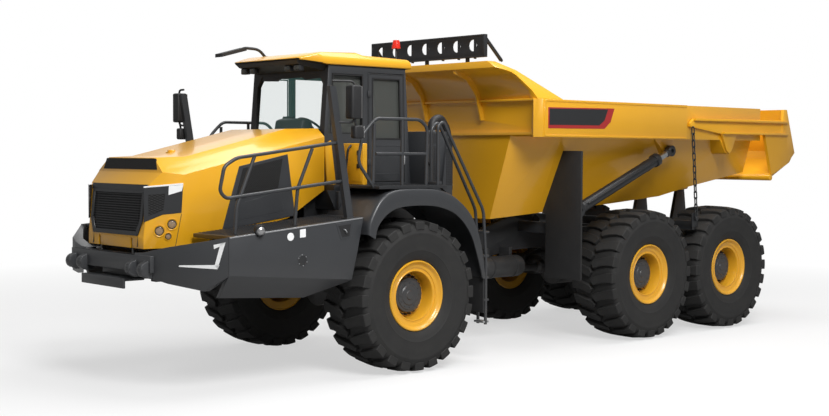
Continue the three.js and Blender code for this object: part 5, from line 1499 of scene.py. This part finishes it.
# %% Cooler and its pipe
CAB_REAR = -0.690  # the cab's rear wall
COOLER_FOOT = 2.060
LOUVRES_Y, WING_LOUVRES_Y = 1.0175, 1.0565  # just proud of the box's side and of its wing's
body = spanned((CAB_REAR - 0.480, CAB_REAR - 0.072), (-0.258, 1.020), (COOLER_FOOT, 2.928), 0.012)
wing_plate = plate([(AXLE + CAB_REAR - 0.480, COOLER_FOOT), (AXLE + CAB_REAR - 0.480, 2.850),
                    (AXLE + CAB_REAR - 0.400, 2.928), (AXLE + CAB_REAR - 0.300, 2.202)], 0.078, 0.981, 0.006)
pipe_route = [(-0.250, 2.900), (-0.270, 3.060), (-0.400, 3.110), (-0.520, 2.960), (-0.555, 2.620),
              (-0.555, 2.150), (-0.430, 2.120)]
pipe = tube([at(CAB_REAR + x, 0.9, z) for x, z in pipe_route], 0.058, 24, 0.14)
clips = [(shifted(turned([(0.0575, -0.012), (0.0625, -0.012), (0.0625, 0.012), (0.0575, 0.012)], 28),
                  at(CAB_REAR + x, 0.9, z), turn=turned_to((0, 0, 1))), STEEL)
         for x, z in ((-0.252, 2.935), (-0.555, 2.240))]
strut = spanned((-0.900, -0.780), (-0.450, 0.450), (1.640, COOLER_FOOT + 0.01), 0.008)


def louvres(size, count, step, columns, column_step, place):
    """Columns of a small block: count of them up, and columns of them along the side."""
    small = block(*[(0, length) for length in size], 0)
    column = row(small, count, (0, 0, step), PLASTIC) if count > 1 else small
    return shifted(row(column, columns, (column_step, 0, 0), PLASTIC), at(*place)), PLASTIC


slots = louvres((0.028, 0.006, 0.013), 24, 0.0215, 5, 0.038, (CAB_REAR - 0.285, LOUVRES_Y, 2.235))
fine = louvres((0.007, 0.004, 0.140), 1, 0, 15, 0.0135, (CAB_REAR - 0.285, LOUVRES_Y, 2.765))
wing_slots = louvres((0.028, 0.006, 0.013), 22, 0.0215, 3, 0.038, (CAB_REAR - 0.470, WING_LOUVRES_Y, 2.240))
wing_fine = louvres((0.008, 0.006, 0.110), 1, 0, 6, 0.014, (CAB_REAR - 0.470, WING_LOUVRES_Y, 2.735))
knob = (shifted(turned([(0, 0.030), (0.022, 0.030), (0.028, 0.020), (0.028, 0), (0, 0)], 20, closed=False),
                at(CAB_REAR - 0.115, 1.019, 2.520)), PLASTIC)
CORE_BARS, CORE_STEP = 28, 0.028
core = [(spanned((CAB_REAR - 0.4835, CAB_REAR - 0.478), (-0.22, 0.94), (z, z + 0.006), 0), PLASTIC)
        for z in [2.12 + CORE_STEP * k for k in range(CORE_BARS)]]
stand_in(gather("cooler_unit", (body, GREY), (wing_plate, GREY), (pipe, PLASTIC), *clips, (strut, CHASSIS), slots,
                fine, wing_slots, wing_fine, knob, *core), "cooler_box")
print("cooler made, core bars:", CORE_BARS)

# %% [markdown]
# ## Fittings on the frames and the spill guard
# The rear frame carries an air tank on each side, held by two straps, and a shaft runs back to the
# axles: all turned. Dark liners close the front wheel arches. The spill guard over the bed's front
# edge is a bar plate with round holes in the frame already; a rim and thin posts finish it.

# %% Tanks, shaft, liners and spill guard
TANK_X, TANK_Y, TANK_Z = -2.480, 0.640, 1.080
tank = turned([(0, -0.400), (0.08, -0.395), (0.135, -0.370), (0.150, -0.330), (0.150, 0.330), (0.135, 0.370),
               (0.08, 0.395), (0, 0.400)], 36, closed=False)
strap = turned([(0.1495, -0.02), (0.156, -0.02), (0.156, 0.02), (0.1495, 0.02)], 36)
along_x = turned_to((1, 0, 0))
tanks = [(shifted(tank, at(TANK_X, TANK_Y, TANK_Z), turn=along_x), CHASSIS)]
for x in (-2.700, -2.260):
    tanks.append((shifted(strap.copy(), at(x, TANK_Y, TANK_Z), turn=along_x), CHASSIS))
    tanks.append((spanned((x - 0.03, x + 0.03), (0.435, TANK_Y), (1.180, 1.340), 0.006), CHASSIS))
shaft = turned([(0, -1.02), (0.10, -1.02), (0.10, -0.93), (0.055, -0.90), (0.055, 0.86), (0.10, 0.90),
                (0.10, 0.98), (0, 0.98)], 28, closed=False)
shaft = (shifted(shaft, at(-3.000, 0, 0.960), turn=along_x), CHASSIS)
liner_line = [(-0.900, 1.500), (-0.900, 2.190), (0.900, 2.190), (0.900, 1.480), (0.500, 1.430), (-0.500, 1.430)]
liner = plate([(AXLE + x, z) for x, z in liner_line], 0.020, 0.600, 0.004)
fitted("wheel_arch_liners", "front_chassis", "chassis_black", *both_sides((liner, CHASSIS)))
fitted("rear_frame_fittings", "rear_chassis", "chassis_black", *both_sides(*tanks), shaft)
GUARD_X = -1.655  # the spill guard's plate
GUARD_POSTS_AT = (-0.93, -0.62, -0.31, 0.0, 0.31, 0.62, 0.93)
rims = [(spanned((GUARD_X - 0.050, GUARD_X + 0.012), (-1.135, 1.135), z, 0.004), CHASSIS)
        for z in ((3.915, 3.935), (4.190, 4.2145))]
guard_end = (spanned((GUARD_X - 0.050, GUARD_X + 0.012), (1.115, 1.150), (3.915, 4.2145), 0.006), CHASSIS)
stays = tubes([[(-1.680, 1.128, 4.170), (-1.960, 1.150, 3.885)]], 0.026, CHASSIS, 0.05)
posts = [(spanned((GUARD_X - 0.060, GUARD_X - 0.014), (y - 0.004, y + 0.004), (3.900, 4.195), 0.001), CHASSIS)
         for y in GUARD_POSTS_AT]
fitted("spill_guard_frame", "dump_bed", "chassis_black", *rims, *posts, *both_sides(guard_end, *stays))
print("frame fittings and spill guard made, posts:", len(posts))

# %% [markdown]
# ## The end
# The last cell prints that the script has finished.

# %% Finish
print("finished")
